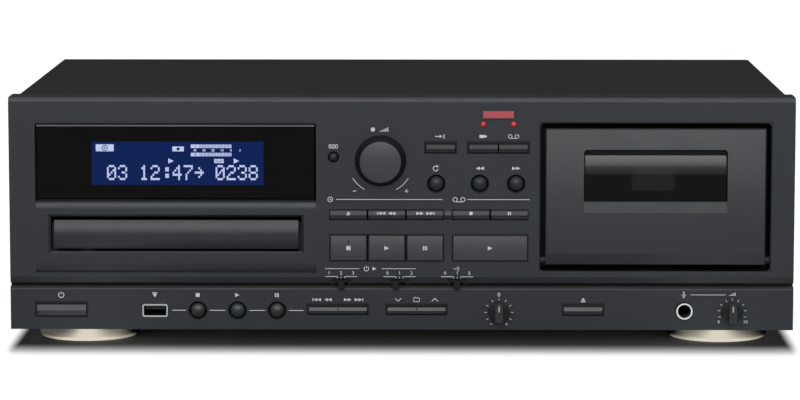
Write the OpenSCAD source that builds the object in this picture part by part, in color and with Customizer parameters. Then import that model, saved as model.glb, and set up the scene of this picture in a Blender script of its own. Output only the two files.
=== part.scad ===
// Full-width hi-fi deck that plays discs and cassettes: a folded steel case behind a moulded front panel.
// Millimetres. X runs to the right, Y to the back, Z up. The origin is under the middle of the deck.

/* [Case] */
// Width of the front panel
panel_w = 435; // [430:1:480]
// Height of the front panel
panel_h = 129.5; // [126:0.5:160]
// Height of the feet
foot_h = 15.5; // [12:0.5:30]
// Depth from the panel's face to the back of the cover
body_d = 264; // [250:1:330]
// Depth of the panel moulding
panel_d = 22; // [21:0.5:30]
// Wall of the panel moulding
panel_t = 3; // [2.6:0.1:3.4]
// Step from the panel's side to the cover's side
cover_step = 2.5; // [1:0.5:6]
// Step from the panel's top down to the cover's top
cover_drop = 0.6; // [0.2:0.1:3]
// Thickness of the steel sheet
sheet_t = 1; // [0.6:0.1:1.5]
// Round along the panel's top edge
top_round = 2.6; // [1:0.1:2.9]
// Gap between pieces that are dropped or slid together
slip = 0.3; // [0.2:0.05:0.5]

/* [Feet] */
// Radius of a foot
foot_r = 28.5; // [20:0.5:32]
// Distance from the middle of the case to the middle of a foot
foot_x = 181; // [150:1:184]
// Distance from the panel's face to the front feet
foot_front = 74; // [60:1:90]
// Distance from the back of the cover to the rear feet
foot_back = 48; // [40:1:70]

/* [Display] */
// Distance from the panel's left side to the display window
window_left = 14.5; // [10:0.5:20]
// Width of the display window
window_w = 155.8; // [150:0.1:158]
// Height of the display window
window_h = 42.2; // [36:0.1:43]
// Height of the window's lower edge above the panel's lower edge
window_up = 72.4; // [71:0.2:80]
// Thickness of the display window
window_t = 2; // [1.4:0.1:2.2]
// Width of the liquid crystal display
lcd_w = 95.2; // [80:0.2:105]
// Height of the liquid crystal display
lcd_h = 24.1; // [18:0.1:28]
// Distance from the window's left edge to the display
lcd_left = 31.2; // [15:0.2:45]

/* [Disc drawer] */
// Width of the drawer's front
drawer_w = 135.6; // [134:0.2:142]
// Height of the drawer's front
drawer_h = 16; // [15.5:0.1:17]
// Height of the drawer's front above the panel's lower edge
drawer_up = 44.9; // [44:0.1:48]
// Gap at each side of the drawer's front
drawer_gap = 1.9; // [0.8:0.1:2.5]
// How far the drawer slides out
drawer_travel = 135; // [115:1:140]
// Length of the tray that stays in its rails when the drawer is out
tray_hold = 35; // [30:1:45]
// Radius of the well for a large disc
well_r = 60.6; // [60.4:0.1:62]
// Depth of the disc well
well_d = 5.5; // [4.5:0.1:6]
// Module of the loading gear's teeth
tooth_m = 1; // [0.9:0.1:1.1]
// Number of teeth on the loading gear
gear_teeth = 18; // [17:1:20]

/* [Cassette bay] */
// Distance from the panel's right side to the middle of the cassette door
door_right = 76.9; // [76:0.1:84]
// Width of the cassette door
door_w = 121.6; // [118:0.1:123]
// Height of the cassette door
door_h = 75.7; // [74:0.1:78]
// Height of the door's lower edge above the panel's lower edge
door_up = 36.7; // [36.2:0.1:38]
// Gap around the cassette door
door_gap = 2.9; // [2.5:0.1:3.2]
// Thickness of the cassette door
door_t = 3; // [2.6:0.1:3.2]
// Width of the cassette
cassette_w = 100.4; // [100:0.1:101]
// Thickness of the pocket for the cassette
pocket_d = 13.2; // [12.4:0.1:13.4]
// Height of the reels above the panel's lower edge
reel_up = 81.5; // [81:0.1:83]
// Distance between the two reels
reel_pitch = 42.5; // [42:0.1:43]

/* [Controls] */
// Width of a transport key
key_w = 20.2; // [16:0.1:20.6]
// Distance from one transport key to the next
key_pitch = 21.25; // [21.1:0.05:21.3]
// Height of the large transport keys
big_key_h = 14.3; // [12:0.1:15]
// Height of the small transport keys
small_key_h = 5.1; // [4.5:0.1:6]
// Width of the source and record keys
bar_w = 15.8; // [12:0.1:16.2]
// Height of the source and record keys
bar_h = 4.7; // [4:0.1:5.5]
// Radius of the round keys
round_r = 4.2; // [3.4:0.1:4.4]
// Radius of the recording level knob at its base
level_r = 14.2; // [11:0.1:15]
// How far the recording level knob stands out of the panel
knob_proud = 9.5; // [8:0.5:16]
// Radius of the two small knobs
dial_r = 5.7; // [4.5:0.1:6.5]
// How far a key moves
key_travel = 0.8; // [0.4:0.1:1]
// How far a slide switch moves from one place to the next
slide_step = 2.1; // [1.5:0.1:2.2]

/* [Sockets] */
// How far the line jacks stand out behind the cover
jack_proud = 10; // [9:0.5:14]
// Radius of the hole in the microphone jack
mic_bore_r = 3.2; // [3.1:0.05:3.3]
// Distance between neighbouring line jacks
jack_pitch = 14; // [12:0.5:18]

/* [Hidden] */
$fn = 64;
eps = 0.05;

// Main planes of the case
total_d = knob_proud + body_d + jack_proud;
face_y = knob_proud - total_d / 2;
seat_y = face_y + panel_d;
back_y = face_y + body_d;
rear_y = back_y - sheet_t;
base_z = foot_h;
top_z = base_z + panel_h;
floor_z = base_z + sheet_t;
left_x = -panel_w / 2;
right_x = panel_w / 2;
cover_x = panel_w / 2 - cover_step;
cover_z = top_z - cover_drop;
wall_back = face_y + panel_t;
function up(h) = base_z + h;

// Radius of an arc that falls back by d over a height h
function arc_r(h, d) = (h * h + d * d) / (2 * d);

// Groove between the upper panel and the lower strip
groove_up = 22.3;
groove_h = 7.2;
groove_d = 4.5;
groove_gap = 1.7;
strip_round = 1.9;
lip_lean = 0.9;
lip_edge = 0.4;
rib_back = face_y + groove_d + panel_t;
strip_up = 10.6;

// Circuit boards behind the panel
board_in = 17;
board_y = face_y + board_in;
board_t = 1.6;
post_r = 2.5;
tact_h = 4.3;
tact_w = 6;

// Hairline between two solids of one piece that are pressed together
seam = 0.02;

// Display window and display
window_x = left_x + window_left;
window_ledge = 1.5;
window_proud = 0.6;
window_bevel = 0.8;
lcd_x = window_x + lcd_left;
lcd_low = 8.1;
lcd_up = window_up + lcd_low;
lcd_rim_x = 5;
lcd_rim_z = 4;

// Disc drawer
drawer_x = window_x + window_w / 2;
drawer_z = up(drawer_up + drawer_h / 2);
drawer_sag = 2;
drawer_sunk = 0.4;
drawer_t = 6;
drawer_top_gap = 2.2;
drawer_under_gap = 1.3;
drawer_chamfer = 1.3;
drawer_arc_r = arc_r(drawer_h / 2, drawer_sag);
tray_y = face_y + drawer_sunk + drawer_t;
tray_w = drawer_w - 5.6;
tray_l = drawer_travel + tray_hold;
tray_z = up(drawer_up) + 11.6;
tray_t = well_d + 2.5;
flange_t = 2;
flange_out = 2;
disc_y = tray_y + well_r + 3;
small_well_r = 40.6;
small_well_d = 1;
tray_slot_w = 38;

// Rack and loading gear
pitch_r = tooth_m * gear_teeth / 2;
pressure = 20;
backlash = 0.3;
rack_h = 3.4;
rack_t = 3.5;
rack_x = drawer_x - tray_w / 2 + rack_t;
gear_x = rack_x + tooth_m * 1.25 + pitch_r;
gear_y = face_y + 26;
gear_z = tray_z - tray_t - rack_h + 0.2;
gear_t = rack_h - 0.5;
gear_pin_r = 2;
fit = 0.06;

// Disc loader
loader_wall = 3;
loader_x = tray_w / 2 + flange_out + slip;
loader_y = face_y + 12;
loader_l = tray_y + tray_l + 6 - loader_y;
loader_z = gear_z - 9;
loader_t = 2;
rail_t = 2;
bridge_w = 34;
bridge_z = tray_z + 3;
bridge_t = 2.5;
puck_r = 13;
motor_r = 12;
motor_h = 9;
table_r = 15;
table_z = tray_z - well_d - 0.5;
spindle_r = 1.2;
hub_r = 7.4;
rod_r = 1.5;
rod_x = 24;
rod_z = loader_z + loader_t + 5;
pickup_in = 24;
pickup_travel = 34;
pickup_d = 22;
lens_r = 4;

// Cassette door, carrier and well
door_x = right_x - door_right;
door_z = up(door_up);
door_proud = 0.5;
door_under = door_gap + 1.1;
door_chamfer = 0.7;
door_front = face_y - door_proud;
door_back = door_front + door_t;
door_bevel_h = 6.2;
door_bevel_d = 1.5;
glass_w = 78;
glass_frame_w = 79.4;
glass_frame_up = 28.9;
glass_frame_h = 35.2;
glass_ramp = 6.3;
glass_h = 25.4;
glass_t = 2;
glass_sink = 1.2;
glass_bend_h = 9.4;
glass_bend_d = 2;
glass_bend_r = arc_r(glass_bend_h, glass_bend_d);
glass_y = door_front + glass_sink;
glass_z = door_z + glass_frame_up + glass_ramp;
web_t = 1.5;
web_y = glass_y + glass_t + glass_bend_d + 0.6;
pocket_y = web_y + web_t;
pocket_w = cassette_w + 1.2;
channel_t = 1.6;
lip_w = 6;
reel_z = up(reel_up);
cassette_below = 34.4;
cassette_h = 63.8;
cassette_z = reel_z - cassette_below;
carrier_top = cassette_z + cassette_h - 6;
hinge_y = face_y + 6;
hinge_z = door_z + 1.8;
hinge_r = 1.5;
ear_r = 3;
ear_t = 2.2;
ear_x = pocket_w / 2 + channel_t;
well_room = 0.2;
well_x = door_w / 2 + door_gap + well_room;
well_t = 1.5;
well_y = pocket_y + pocket_d + 3.2;
well_z0 = door_z - door_under - well_room;
well_z1 = door_z + door_h + door_gap + well_room;
plate_t = 2;

// Cassette transport
reel_pin_r = 1.2;
reel_hub_r = 3.5;
reel_fin = 1.1;
reel_base_r = 8;
reel_len = 9;
capstan_x = door_x + 24;
capstan_z = cassette_z + 9.5;
capstan_r = 1;
flywheel_r = 17;
flywheel_t = 8;
pinch_r = 6;
pinch_t = 6;
bridge_lift = 3.6;
pinch_z = capstan_z - capstan_r - pinch_r - bridge_lift - slip;
bridge_y = well_y - 2.1;
bridge_plate = 1.6;
bridge_back = bridge_y + bridge_plate;
bridge_x = 32;
guide_r = 1.3;
guide_x = 12;
guide_z = cassette_z - 6;
head_w = 12;
head_d = 8;
head_top = cassette_z - 1;
bridge_below = 10;
tape_motor_r = 13;
tape_motor_l = 24;
tape_motor_out = 32;
tape_motor_low = 14;
backlight_w = 23.6;
backlight_h = 12.5;
backlight_up = 0.2;

// Keys and the openings that they stand in
key_clear = 0.45;
key_seat = 0.2;
key_lip = 1;
key_plate = 1.2;
stem_r = 1.5;
stem_end = board_y - tact_h - key_travel - 0.15;
recess_d = 2;
recess_side = 1.3;
recess_top = 1.9;
recess_under = key_clear;
block_margin = 7.65;
bay_margin = 5.35;
divider_step = 4.2;
block_x = window_x + window_w + block_margin;
block_end = door_x - well_x - well_t - bay_margin;
stretch = (block_end - block_x - divider_step) / (4 * key_pitch + key_w);
key_step = key_pitch * stretch;
key_wide = key_w * stretch;
bar_wide = bar_w * stretch;
tape_keys_x = block_x + 3 * key_step + divider_step;
divider_x = tape_keys_x - (divider_step + key_step - key_wide) / 2;
divider_w = 3.8;
small_key_proud = 1.5;
big_up = 45.85;
small_up = 64.35;
bar_up = 101.25;
round_up = 81.7;
lamp_up = 114.9;
lamp_r = 1.5;

// Places over and under the keys, as shares of the room between the window and the cassette bay
function in_block(share) = block_x + share * (block_end - block_x);
bar_x = [for (share = [0.558958, 0.77468, 0.927331]) in_block(share)];
round_x = [for (share = [0.53702, 0.757313, 0.941042]) in_block(share)];
level_x = in_block(0.255484);
level_up = 94.5;
level_base_r = level_r * stretch;
level_taper = 3.3;
level_face_r = level_base_r - level_taper;
level_dome_r = 45;
level_gap = 0.4;
reset_x = in_block(0.01691);
reset_up = 96.5;
reset_r = 2.2;
slide_x = [for (share = [0.055302, 0.351463, 0.643967]) in_block(share)];
slide_up = 25.05;
slide_w = 2.6;
slide_neck = 1.3;
slide_cap_w = 3.4;
slide_cap_h = 4.7;
slide_cap_t = 1.4;
slide_window_w = 10;
slide_window_up = 28.4;
slide_plate_w = 12.8;
slide_plate_h = 5.6;
slide_body_t = 5;

// Places along the lower strip, as shares of the panel's width
function on_strip(share) = left_x + share * panel_w;
power_w = 27.2;
power_h = 6.6;
power_x = on_strip(0.065287);
power_travel = 3;
port_x = on_strip(0.184943);
port_key_x = [for (share = [0.23977, 0.290345, 0.34092]) on_strip(share)];
rocker_w = 32.2;
rocker_h = 4.2;
rocker_x = [on_strip(0.418736), on_strip(0.519195)];
rocker_y = wall_back + 3.5;
axle_r = 1.2;
pitch_x = on_strip(0.624368);
eject_w = 21.3;
eject_h = 4.7;
eject_x = on_strip(0.731839);
eject_travel = 2;
mic_x = on_strip(0.861149);
mic_level_x = on_strip(0.921839);
dial_up = 10;
shaft_r = 3;
pot_w = 12;
pot_h = 6;

// Sockets
port_w = 14.2;
port_h = 7.2;
port_t = 0.8;
mic_nut_r = 4.9;
mic_hole_r = 3.6;
mic_body = 12;
mic_len = 30;
jack_in = 155.5;
jack_x = right_x - jack_in;
jack_up = 52;
jack_r = 4.15;
jack_bore_r = 1.65;
jack_body = 13;
jack_collar = 1.6;
jack_seat = 1;
inlet_in = 49.5;
inlet_x = right_x - inlet_in;
inlet_up = 40;
inlet_w = 16;
inlet_h = 8.4;
inlet_d = 13;
inlet_pitch = 8.6;
inlet_pin_r = 1.2;
inlet_wall = 2.5;

// Boards, transformer and screws inside the case
main_left = 16.8;
main_right = 109.5;
main_front = 112;
main_rear = 14;
main_post_h = 8;
main_x0 = drawer_x + loader_x + loader_wall + main_left;
main_x1 = right_x - main_right;
main_y0 = face_y + main_front;
main_y1 = rear_y - main_rear;
main_z = floor_z + main_post_h;
main_post_r = 3;
cap_r = 9;
cap_h = 32;
cap_pitch = 24;
cap_in = [20, 30];
sink_in = [14, 60];
sink_w = 40;
sink_h = 38;
sink_base = 8;
fin_t = 2;
fin_pitch = 5;
fins = 6;
chip_in = [70, 66];
chip_w = 22;
chip_h = 4;
trafo_right = 59.5;
trafo_rear = 76;
trafo_x = right_x - trafo_right;
trafo_y = back_y - trafo_rear;
trafo_w = 58;
trafo_d = 50;
trafo_h = 46;
core_d = 24;
coil_in = 8;
coil_low = 8;
coil_high = 4;
coil_round = 4;
tab_w = 9;
tab_d = 22;
tab_t = 2;
tab_hole_r = 2.2;
lip_h = 12;
vent_left = 107.5;
vent_x = left_x + vent_left;
vent_up = 84;
vent_pitch = 6;
vent_w = 2.4;
vent_h = 12;
side_flange = 20;
screw_r = 1.5;
screw_head_r = 3.2;
screw_head_h = 1.7;
screw_len = 5;
side_screw_front = 34;
side_screw_back = 46;
lip_screw_in = 67.5;
base_screw_in = 22.5;
side_screw_y = [seat_y + side_screw_front, back_y - side_screw_back];
lip_screw_x = [left_x + lip_screw_in, 0, right_x - lip_screw_in];
base_screw_x = [left_x + base_screw_in, right_x - base_screw_in];
pad_r = 19.5;
pad_t = 2.6;
pad_proud = 1;
foot_x_y = [for (x = [-foot_x, foot_x], y = [face_y + foot_front, back_y - foot_back]) [x, y]];

// Extrusions of an outline along each axis, with the outline drawn in the other two
module along_x(x0, x1) translate([x0, 0, 0]) rotate([90, 0, 90]) linear_extrude(x1 - x0) children();
module along_y(y0, y1) translate([0, y1, 0]) rotate([90, 0, 0]) linear_extrude(y1 - y0) children();
module along_z(z0, z1) translate([0, 0, z0]) linear_extrude(z1 - z0) children();

// A block between two corners
module block(x0, x1, y0, y1, z0, z1) translate([x0, y0, z0]) cube([x1 - x0, y1 - y0, z1 - z0]);

// A rod or cone that lies along Y, from y0 at the front to y1 at the back
module rod_y(x, z, r, y0, y1) translate([x, y1, z]) rotate([90, 0, 0]) cylinder(r = r, h = y1 - y0);
module cone_y(x, z, r0, r1, y0, y1) {
    translate([x, y1, z]) rotate([90, 0, 0]) cylinder(r1 = r1, r2 = r0, h = y1 - y0);
}

// A rod that lies along X
module rod_x(x0, x1, y, z, r) translate([x0, y, z]) rotate([0, 90, 0]) cylinder(r = r, h = x1 - x0);

// A turned shape whose axis points out of the panel, with its foot at y
module turned(x, y, z) translate([x, y, z]) rotate([90, 0, 0]) rotate_extrude() children();

// A rectangle with round corners, from its lower left corner
module round_rect(x, z, w, h, r) {
    translate([x + r, z]) square([w - 2 * r, h]);
    translate([x, z + r]) square([w, h - 2 * r]);
    for (i = [0, 1], j = [0, 1]) translate([x + r + i * (w - 2 * r), z + r + j * (h - 2 * r)]) circle(r);
}

// A cut through the panel around a middle point, with round corners
module panel_cut(x, z, w, h, y0, y1, r = 0.6) along_y(y0, y1) round_rect(x - w / 2, z - h / 2, w, h, r);

// A slanted edge around a panel opening: wider by c at the face than c below it
module edge_cut(x, z, w, h, y, c) {
    a = [w / 2 + c, h / 2 + c];
    b = [w / 2, h / 2];
    corners = [[-1, -1], [1, -1], [1, 1], [-1, 1]];
    polyhedron(
        [for (k = corners) [x + k[0] * a[0], y, z + k[1] * a[1]],
         for (k = corners) [x + k[0] * b[0], y + c, z + k[1] * b[1]]],
        [[3, 2, 1, 0], [4, 5, 6, 7], [0, 1, 5, 4], [1, 2, 6, 5], [2, 3, 7, 6], [3, 0, 4, 7]]);
}

// A bar with a ring of tenths taken off its corners along Y and X, as a moulded key cap has
module cap_block(x, z, w, h, y0, y1, c) {
    intersection() {
        along_x(x - w / 2, x + w / 2) polygon([
            [y1, z - h / 2], [y1, z + h / 2], [y0 + c, z + h / 2],
            [y0, z + h / 2 - c], [y0, z - h / 2 + c], [y0 + c, z - h / 2]]);
        along_z(z - h, z + h) polygon([
            [x - w / 2, y1], [x - w / 2, y0 + c], [x - w / 2 + c, y0],
            [x + w / 2 - c, y0], [x + w / 2, y0 + c], [x + w / 2, y1]]);
    }
}

// A bar with a ridge along its middle: the face above it leans up and the face below it leans down
ridge_edge = 0.4;
ridge_upper = 0.7;
ridge_lower = 0.9;
module ridge_block(x, z, w, h, y0, y1) {
    along_x(x - w / 2, x + w / 2) polygon([
        [y1, z - h / 2], [y1, z + h / 2], [y0 + ridge_upper + ridge_edge, z + h / 2],
        [y0 + ridge_upper, z + h / 2 - ridge_edge], [y0, z], [y0 + ridge_lower, z - h / 2 + ridge_edge],
        [y0 + ridge_lower + ridge_edge, z - h / 2]]);
}

// The plate and stem behind a key: the plate stops at the panel's back, the stem reaches for its switch
module key_back(x, z, w, h, lip_x, travel = key_travel) {
    y0 = wall_back + key_seat;
    block(x - w / 2 - lip_x, x + w / 2 + lip_x, y0, y0 + key_plate, z - h / 2 - key_lip, z + h / 2 + key_lip);
    rod_y(x, z, stem_r, y0 + key_plate / 2, stem_end - (travel - key_travel));
}

// Front panel

// What a round takes off an upper front edge, in the panel's side view
module edge_round(z, r) {
    difference() {
        translate([face_y - 1, z]) square([r + 1, r + eps]);
        translate([face_y + r, z]) circle(r);
    }
}

module panel_side() {
    gap_low = up(groove_up + strip_round);
    gap_high = gap_low + groove_gap;
    difference() {
        translate([face_y, base_z]) square([panel_d, panel_h]);
        polygon([
            [face_y - 1, gap_low], [face_y + groove_d, gap_low], [face_y + groove_d, gap_high],
            [face_y + lip_lean + lip_edge, gap_high], [face_y + lip_lean, gap_high + lip_edge],
            [face_y, up(groove_up + groove_h)], [face_y - 1, up(groove_up + groove_h)]]);
        edge_round(up(groove_up), strip_round);
        edge_round(top_z - top_round, top_round);
    }
}

module panel_cavity() {
    inner = panel_w / 2 - panel_t;
    block(-inner, inner, rib_back, seat_y + 1, base_z + panel_t, top_z - panel_t);
    block(-inner, inner, wall_back, seat_y + 1, base_z + panel_t, up(groove_up - 1));
    block(-inner, inner, wall_back, seat_y + 1, up(groove_up + groove_h), top_z - panel_t);
}

// The bay under the window curves in towards its lower edge and towards the window
bay_up = 31.9;
bay_foot_h = 5.5;
bay_foot_d = 1.2;
bay_gap = 0.4;
bay_brow_h = 4.6;
bay_brow_d = 2;
module bay_curve() {
    foot_arc = arc_r(bay_foot_h, bay_foot_d);
    brow_arc = arc_r(bay_brow_h, bay_brow_d);
    brow_z = up(window_up) - bay_gap - bay_brow_h;
    along_x(window_x, window_x + window_w) difference() {
        translate([face_y - 1, up(bay_up)]) square([bay_foot_d + 1, bay_foot_h]);
        translate([face_y + foot_arc, up(bay_up) + bay_foot_h]) circle(foot_arc, $fn = 200);
    }
    along_x(window_x, window_x + window_w) difference() {
        translate([face_y - 1, brow_z]) square([bay_brow_d + 1, bay_brow_h + bay_gap]);
        translate([face_y + brow_arc, brow_z]) circle(brow_arc, $fn = 200);
    }
}

module window_cut() {
    mid_x = window_x + window_w / 2;
    mid_z = up(window_up + window_h / 2);
    panel_cut(mid_x, mid_z, window_w, window_h, face_y - 1, face_y + window_t - window_proud);
    panel_cut(mid_x, mid_z, window_w - 2 * window_ledge, window_h - 2 * window_ledge, face_y, wall_back + 1);
}

module drawer_cut() {
    gap_h = drawer_h + drawer_top_gap + drawer_under_gap;
    mid_z = up(drawer_up - drawer_under_gap) + gap_h / 2;
    panel_cut(drawer_x, mid_z, drawer_w + 2 * drawer_gap, gap_h, face_y - 1, wall_back + 1, 0.5);
    edge_cut(drawer_x, mid_z, drawer_w + 2 * drawer_gap, gap_h, face_y - eps, drawer_chamfer);
}

module cassette_cut() {
    w = door_w + 2 * door_gap;
    h = door_h + door_gap + door_under;
    mid_z = door_z - door_under + h / 2;
    panel_cut(door_x, mid_z, w, h, face_y - 1, wall_back + 1, 2);
    edge_cut(door_x, mid_z, w, h, face_y - eps, door_chamfer);
}

module recessed_cut(x, z, w, h, cut_w) {
    panel_cut(x, z + (recess_top - recess_under) / 2, w + 2 * recess_side, h + recess_top + recess_under,
        face_y - 1, face_y + recess_d, 0.4);
    panel_cut(x, z, cut_w + 2 * key_clear, h + 2 * key_clear, face_y, wall_back + 1, 0.3);
}

module round_cut(x, z, r) {
    rod_y(x, z, r + key_clear, face_y - 1, wall_back + 1);
    cone_y(x, z, r + key_clear + 0.6, r + key_clear, face_y - eps, face_y + 1.4);
}

module key_row_cut(z, h) {
    cd_w = 2 * key_step + key_wide + 2 * key_clear;
    tape_w = key_step + key_wide + 2 * key_clear;
    panel_cut(block_x - key_clear + cd_w / 2, z, cd_w, h + 2 * key_clear, face_y - 1, wall_back + 1, 0.3);
    panel_cut(tape_keys_x - key_clear + tape_w / 2, z, tape_w, h + 2 * key_clear,
        face_y - 1, wall_back + 1, 0.3);
}

module slide_cut(x) {
    z = up(slide_up);
    block(x - slide_window_w / 2, x + slide_window_w / 2, face_y - 1, face_y + groove_d,
        up(groove_up + strip_round), up(slide_window_up));
    slot_w = slide_w + 2 * slide_step + 2 * slip;
    slot_h = slide_neck + 2 * slip;
    block(x - slot_w / 2, x + slot_w / 2, face_y + groove_d - 1, rib_back + 1,
        z - slot_h / 2, z + slot_h / 2);
}

// Ears that carry a rocker's axle at its two ends
module rocker_ears(x) {
    for (s = [-1, 1]) {
        z0 = up(strip_up) + s * (rocker_h / 2 + 0.7 + 1.2);
        difference() {
            block(x - 3, x + 3, wall_back - eps, rocker_y + 2.6, z0 - 1.2, z0 + 1.2);
            translate([x, rocker_y, z0 - 2]) cylinder(r = axle_r + fit, h = 4);
        }
    }
}

module panel_posts() {
    for (p = board_posts) rod_y(p[0], p[1], post_r, wall_back - eps, board_y);
}
board_posts = concat(
    [for (x = [window_x + 7, drawer_x + 64, block_end - 0.45]) [x, up(window_up + window_h + 5.4)]],
    [for (x = [block_x - 3, tape_keys_x - divider_step / 2, block_end - 0.45]) [x, up(57.4)]],
    [for (x = [left_x + 57.5, (rocker_x[0] + rocker_x[1]) / 2, eject_x - 26, eject_x + 30])
        [x, up(strip_up)]]);

module front_panel() {
    color("#38393d") difference() {
        union() {
            difference() {
                along_x(left_x, right_x) panel_side();
                panel_cavity();
            }
            panel_posts();
            for (x = rocker_x) rocker_ears(x);
            ridge_block(divider_x, up(small_up), divider_w, small_key_h, face_y - small_key_proud, wall_back);
        }
        bay_curve();
        window_cut();
        drawer_cut();
        cassette_cut();
        key_row_cut(up(big_up), big_key_h);
        key_row_cut(up(small_up), small_key_h);
        recessed_cut(bar_x[0], up(bar_up), bar_wide, bar_h, bar_wide);
        recessed_cut((bar_x[1] + bar_x[2]) / 2, up(bar_up), bar_x[2] - bar_x[1] + bar_wide, bar_h,
            bar_x[2] - bar_x[1] + bar_wide);
        for (x = round_x) round_cut(x, up(round_up), round_r);
        for (x = port_key_x) round_cut(x, up(strip_up), round_r);
        round_cut(reset_x, up(reset_up), reset_r);
        rod_y(level_x, up(level_up), shaft_r + 1, face_y - 1, wall_back + 1);
        for (x = [pitch_x, mic_level_x]) rod_y(x, up(dial_up), shaft_r + 1, face_y - 1, wall_back + 1);
        for (x = [bar_x[1], bar_x[2]]) rod_y(x, up(lamp_up), lamp_r + 0.15, face_y - 1, wall_back + 1);
        recessed_cut(power_x, up(strip_up), power_w, power_h, power_w);
        recessed_cut(eject_x, up(strip_up), eject_w, eject_h, eject_w);
        for (x = rocker_x) recessed_cut(x, up(strip_up), rocker_w, rocker_h, rocker_w);
        panel_cut(port_x, up(strip_up), port_w + 2 * slip, port_h + 2 * slip, face_y - 1, wall_back + 1, 1.4);
        rod_y(mic_x, up(strip_up), mic_nut_r + slip, face_y - 1, wall_back + 1);
        for (x = slide_x) slide_cut(x);
    }
}

// Case

module top_cover() {
    bend = 1.5;
    color("#2a2b2b") difference() {
        union() {
            along_y(seat_y, back_y) difference() {
                round_rect(-cover_x, floor_z - 4 * bend, 2 * cover_x, cover_z - floor_z + 4 * bend, bend);
                translate([-cover_x + sheet_t, floor_z - 5 * bend])
                    square([2 * (cover_x - sheet_t), cover_z - sheet_t - floor_z + 5 * bend]);
                translate([-cover_x - 1, floor_z - 5 * bend]) square([2 * cover_x + 2, 5 * bend]);
            }
            block(-cover_x + sheet_t - eps, cover_x - sheet_t + eps, rear_y, back_y,
                cover_z - sheet_t - lip_h, cover_z - sheet_t + eps);
        }
        for (s = [-1, 1], y = side_screw_y) rod_x(s * cover_x - 3, s * cover_x + 3, y, up(12), screw_r + 0.1);
        for (x = lip_screw_x) rod_y(x, cover_z - lip_h * 0.6, screw_r + 0.1, rear_y - 1, back_y + 1);
    }
}

chassis_x = cover_x - sheet_t - 0.2;
module bottom_chassis() {
    color("#8d9092") difference() {
        union() {
            block(-chassis_x, chassis_x, seat_y, rear_y - sheet_t, base_z, floor_z);
            block(-chassis_x, chassis_x, seat_y, seat_y + sheet_t, base_z, base_z + 4);
            block(-chassis_x, chassis_x, rear_y - 2 * sheet_t, rear_y - sheet_t, base_z, base_z + 10);
            for (x = [-chassis_x, chassis_x - sheet_t])
                block(x, x + sheet_t, seat_y, rear_y - sheet_t, base_z, base_z + side_flange);
            for (p = main_posts) translate([p[0], p[1], floor_z - eps])
                cylinder(r = main_post_r, h = main_z - floor_z + eps);
        }
        for (s = [-1, 1], y = side_screw_y) rod_x(s * cover_x - 4, s * cover_x + 4, y, up(12), screw_r + 0.1);
        for (x = base_screw_x) rod_y(x, base_z + 6, screw_r + 0.1, rear_y - 4, rear_y + 1);
        for (p = foot_x_y) translate([p[0], p[1], base_z - 1]) cylinder(r = screw_r + 0.1, h = 4);
    }
}
main_posts = [for (x = [main_x0 + 6, main_x1 - 6], y = [main_y0 + 6, main_y1 - 6]) [x, y]];

module rear_panel() {
    edge = chassis_x - 0.2;
    color("#8d9092") difference() {
        block(-edge, edge, rear_y - sheet_t, rear_y, base_z, cover_z - sheet_t - 0.2);
        for (p = jack_spots) rod_y(p[0], p[1], jack_r + 1.2, rear_y - 3, rear_y + 1);
        along_y(rear_y - 3, rear_y + 1) round_rect(inlet_x - inlet_w / 2 - inlet_wall, up(inlet_up)
            - inlet_h / 2 - inlet_wall, inlet_w + 2 * inlet_wall, inlet_h + 2 * inlet_wall, 1);
        for (x = lip_screw_x) rod_y(x, cover_z - lip_h * 0.6, screw_r + 0.1, rear_y - 3, rear_y + 1);
        for (x = base_screw_x) rod_y(x, base_z + 6, screw_r + 0.1, rear_y - 3, rear_y + 1);
        for (i = [-7:7], j = [0, 1])
            panel_cut(vent_x + i * vent_pitch, up(vent_up) + j * (vent_h + 4), vent_w, vent_h,
                rear_y - 3, rear_y + 1, 1.1);
    }
}

// A foot is a turned shell with a rubber ring let into its underside
module foot_shell() {
    rotate_extrude() difference() {
        union() {
            translate([0, pad_proud + 2]) square([foot_r, foot_h - pad_proud - 2]);
            translate([0, pad_proud]) square([foot_r - 2, foot_h - pad_proud]);
            translate([foot_r - 2, pad_proud + 2]) circle(2);
        }
        translate([-1, 0]) square([pad_r + 0.1 + 1, pad_t]);
        translate([-1, 0]) square([screw_head_r + 1.6, foot_h - 4]);
        translate([-1, 0]) square([screw_r + 1.1, foot_h + 1]);
        translate([foot_r - 0.6, foot_h - 3]) square([1, 0.8]);
    }
}

module feet() {
    for (p = foot_x_y) translate([p[0], p[1], 0]) {
        color("#b8ab93") foot_shell();
        color("#1a1a1a") rotate_extrude() translate([8, 0]) square([pad_r - 8, pad_t - 0.02]);
    }
}

module screw() {
    color("#3c3c3e") difference() {
        union() {
            intersection() {
                cylinder(r = screw_head_r, h = screw_head_h);
                translate([0, 0, screw_head_h - 5]) sphere(5);
            }
            translate([0, 0, -screw_len]) cylinder(r = screw_r, h = screw_len + eps);
        }
        for (a = [0, 90]) rotate(a) translate([-1.7, -0.35, screw_head_h - 0.9]) cube([3.4, 0.7, 2]);
    }
}

module case_screws() {
    for (s = [-1, 1], y = side_screw_y) translate([s * cover_x, y, up(12)]) rotate([0, s * 90, 0]) screw();
    for (x = lip_screw_x) translate([x, back_y, cover_z - lip_h * 0.6]) rotate([-90, 0, 0]) screw();
    for (x = base_screw_x) translate([x, rear_y, base_z + 6]) rotate([-90, 0, 0]) screw();
    for (p = foot_x_y) translate([p[0], p[1], foot_h - 4]) rotate([180, 0, 0]) screw();
}

// Display and boards

module display_window() {
    mid_x = window_x + window_w / 2;
    mid_z = up(window_up + window_h / 2);
    front = face_y - window_proud;
    color("#141416") cap_block(mid_x, mid_z, window_w - 2 * slip, window_h - 2 * slip, front,
        front + window_t, window_bevel);
}

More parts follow.
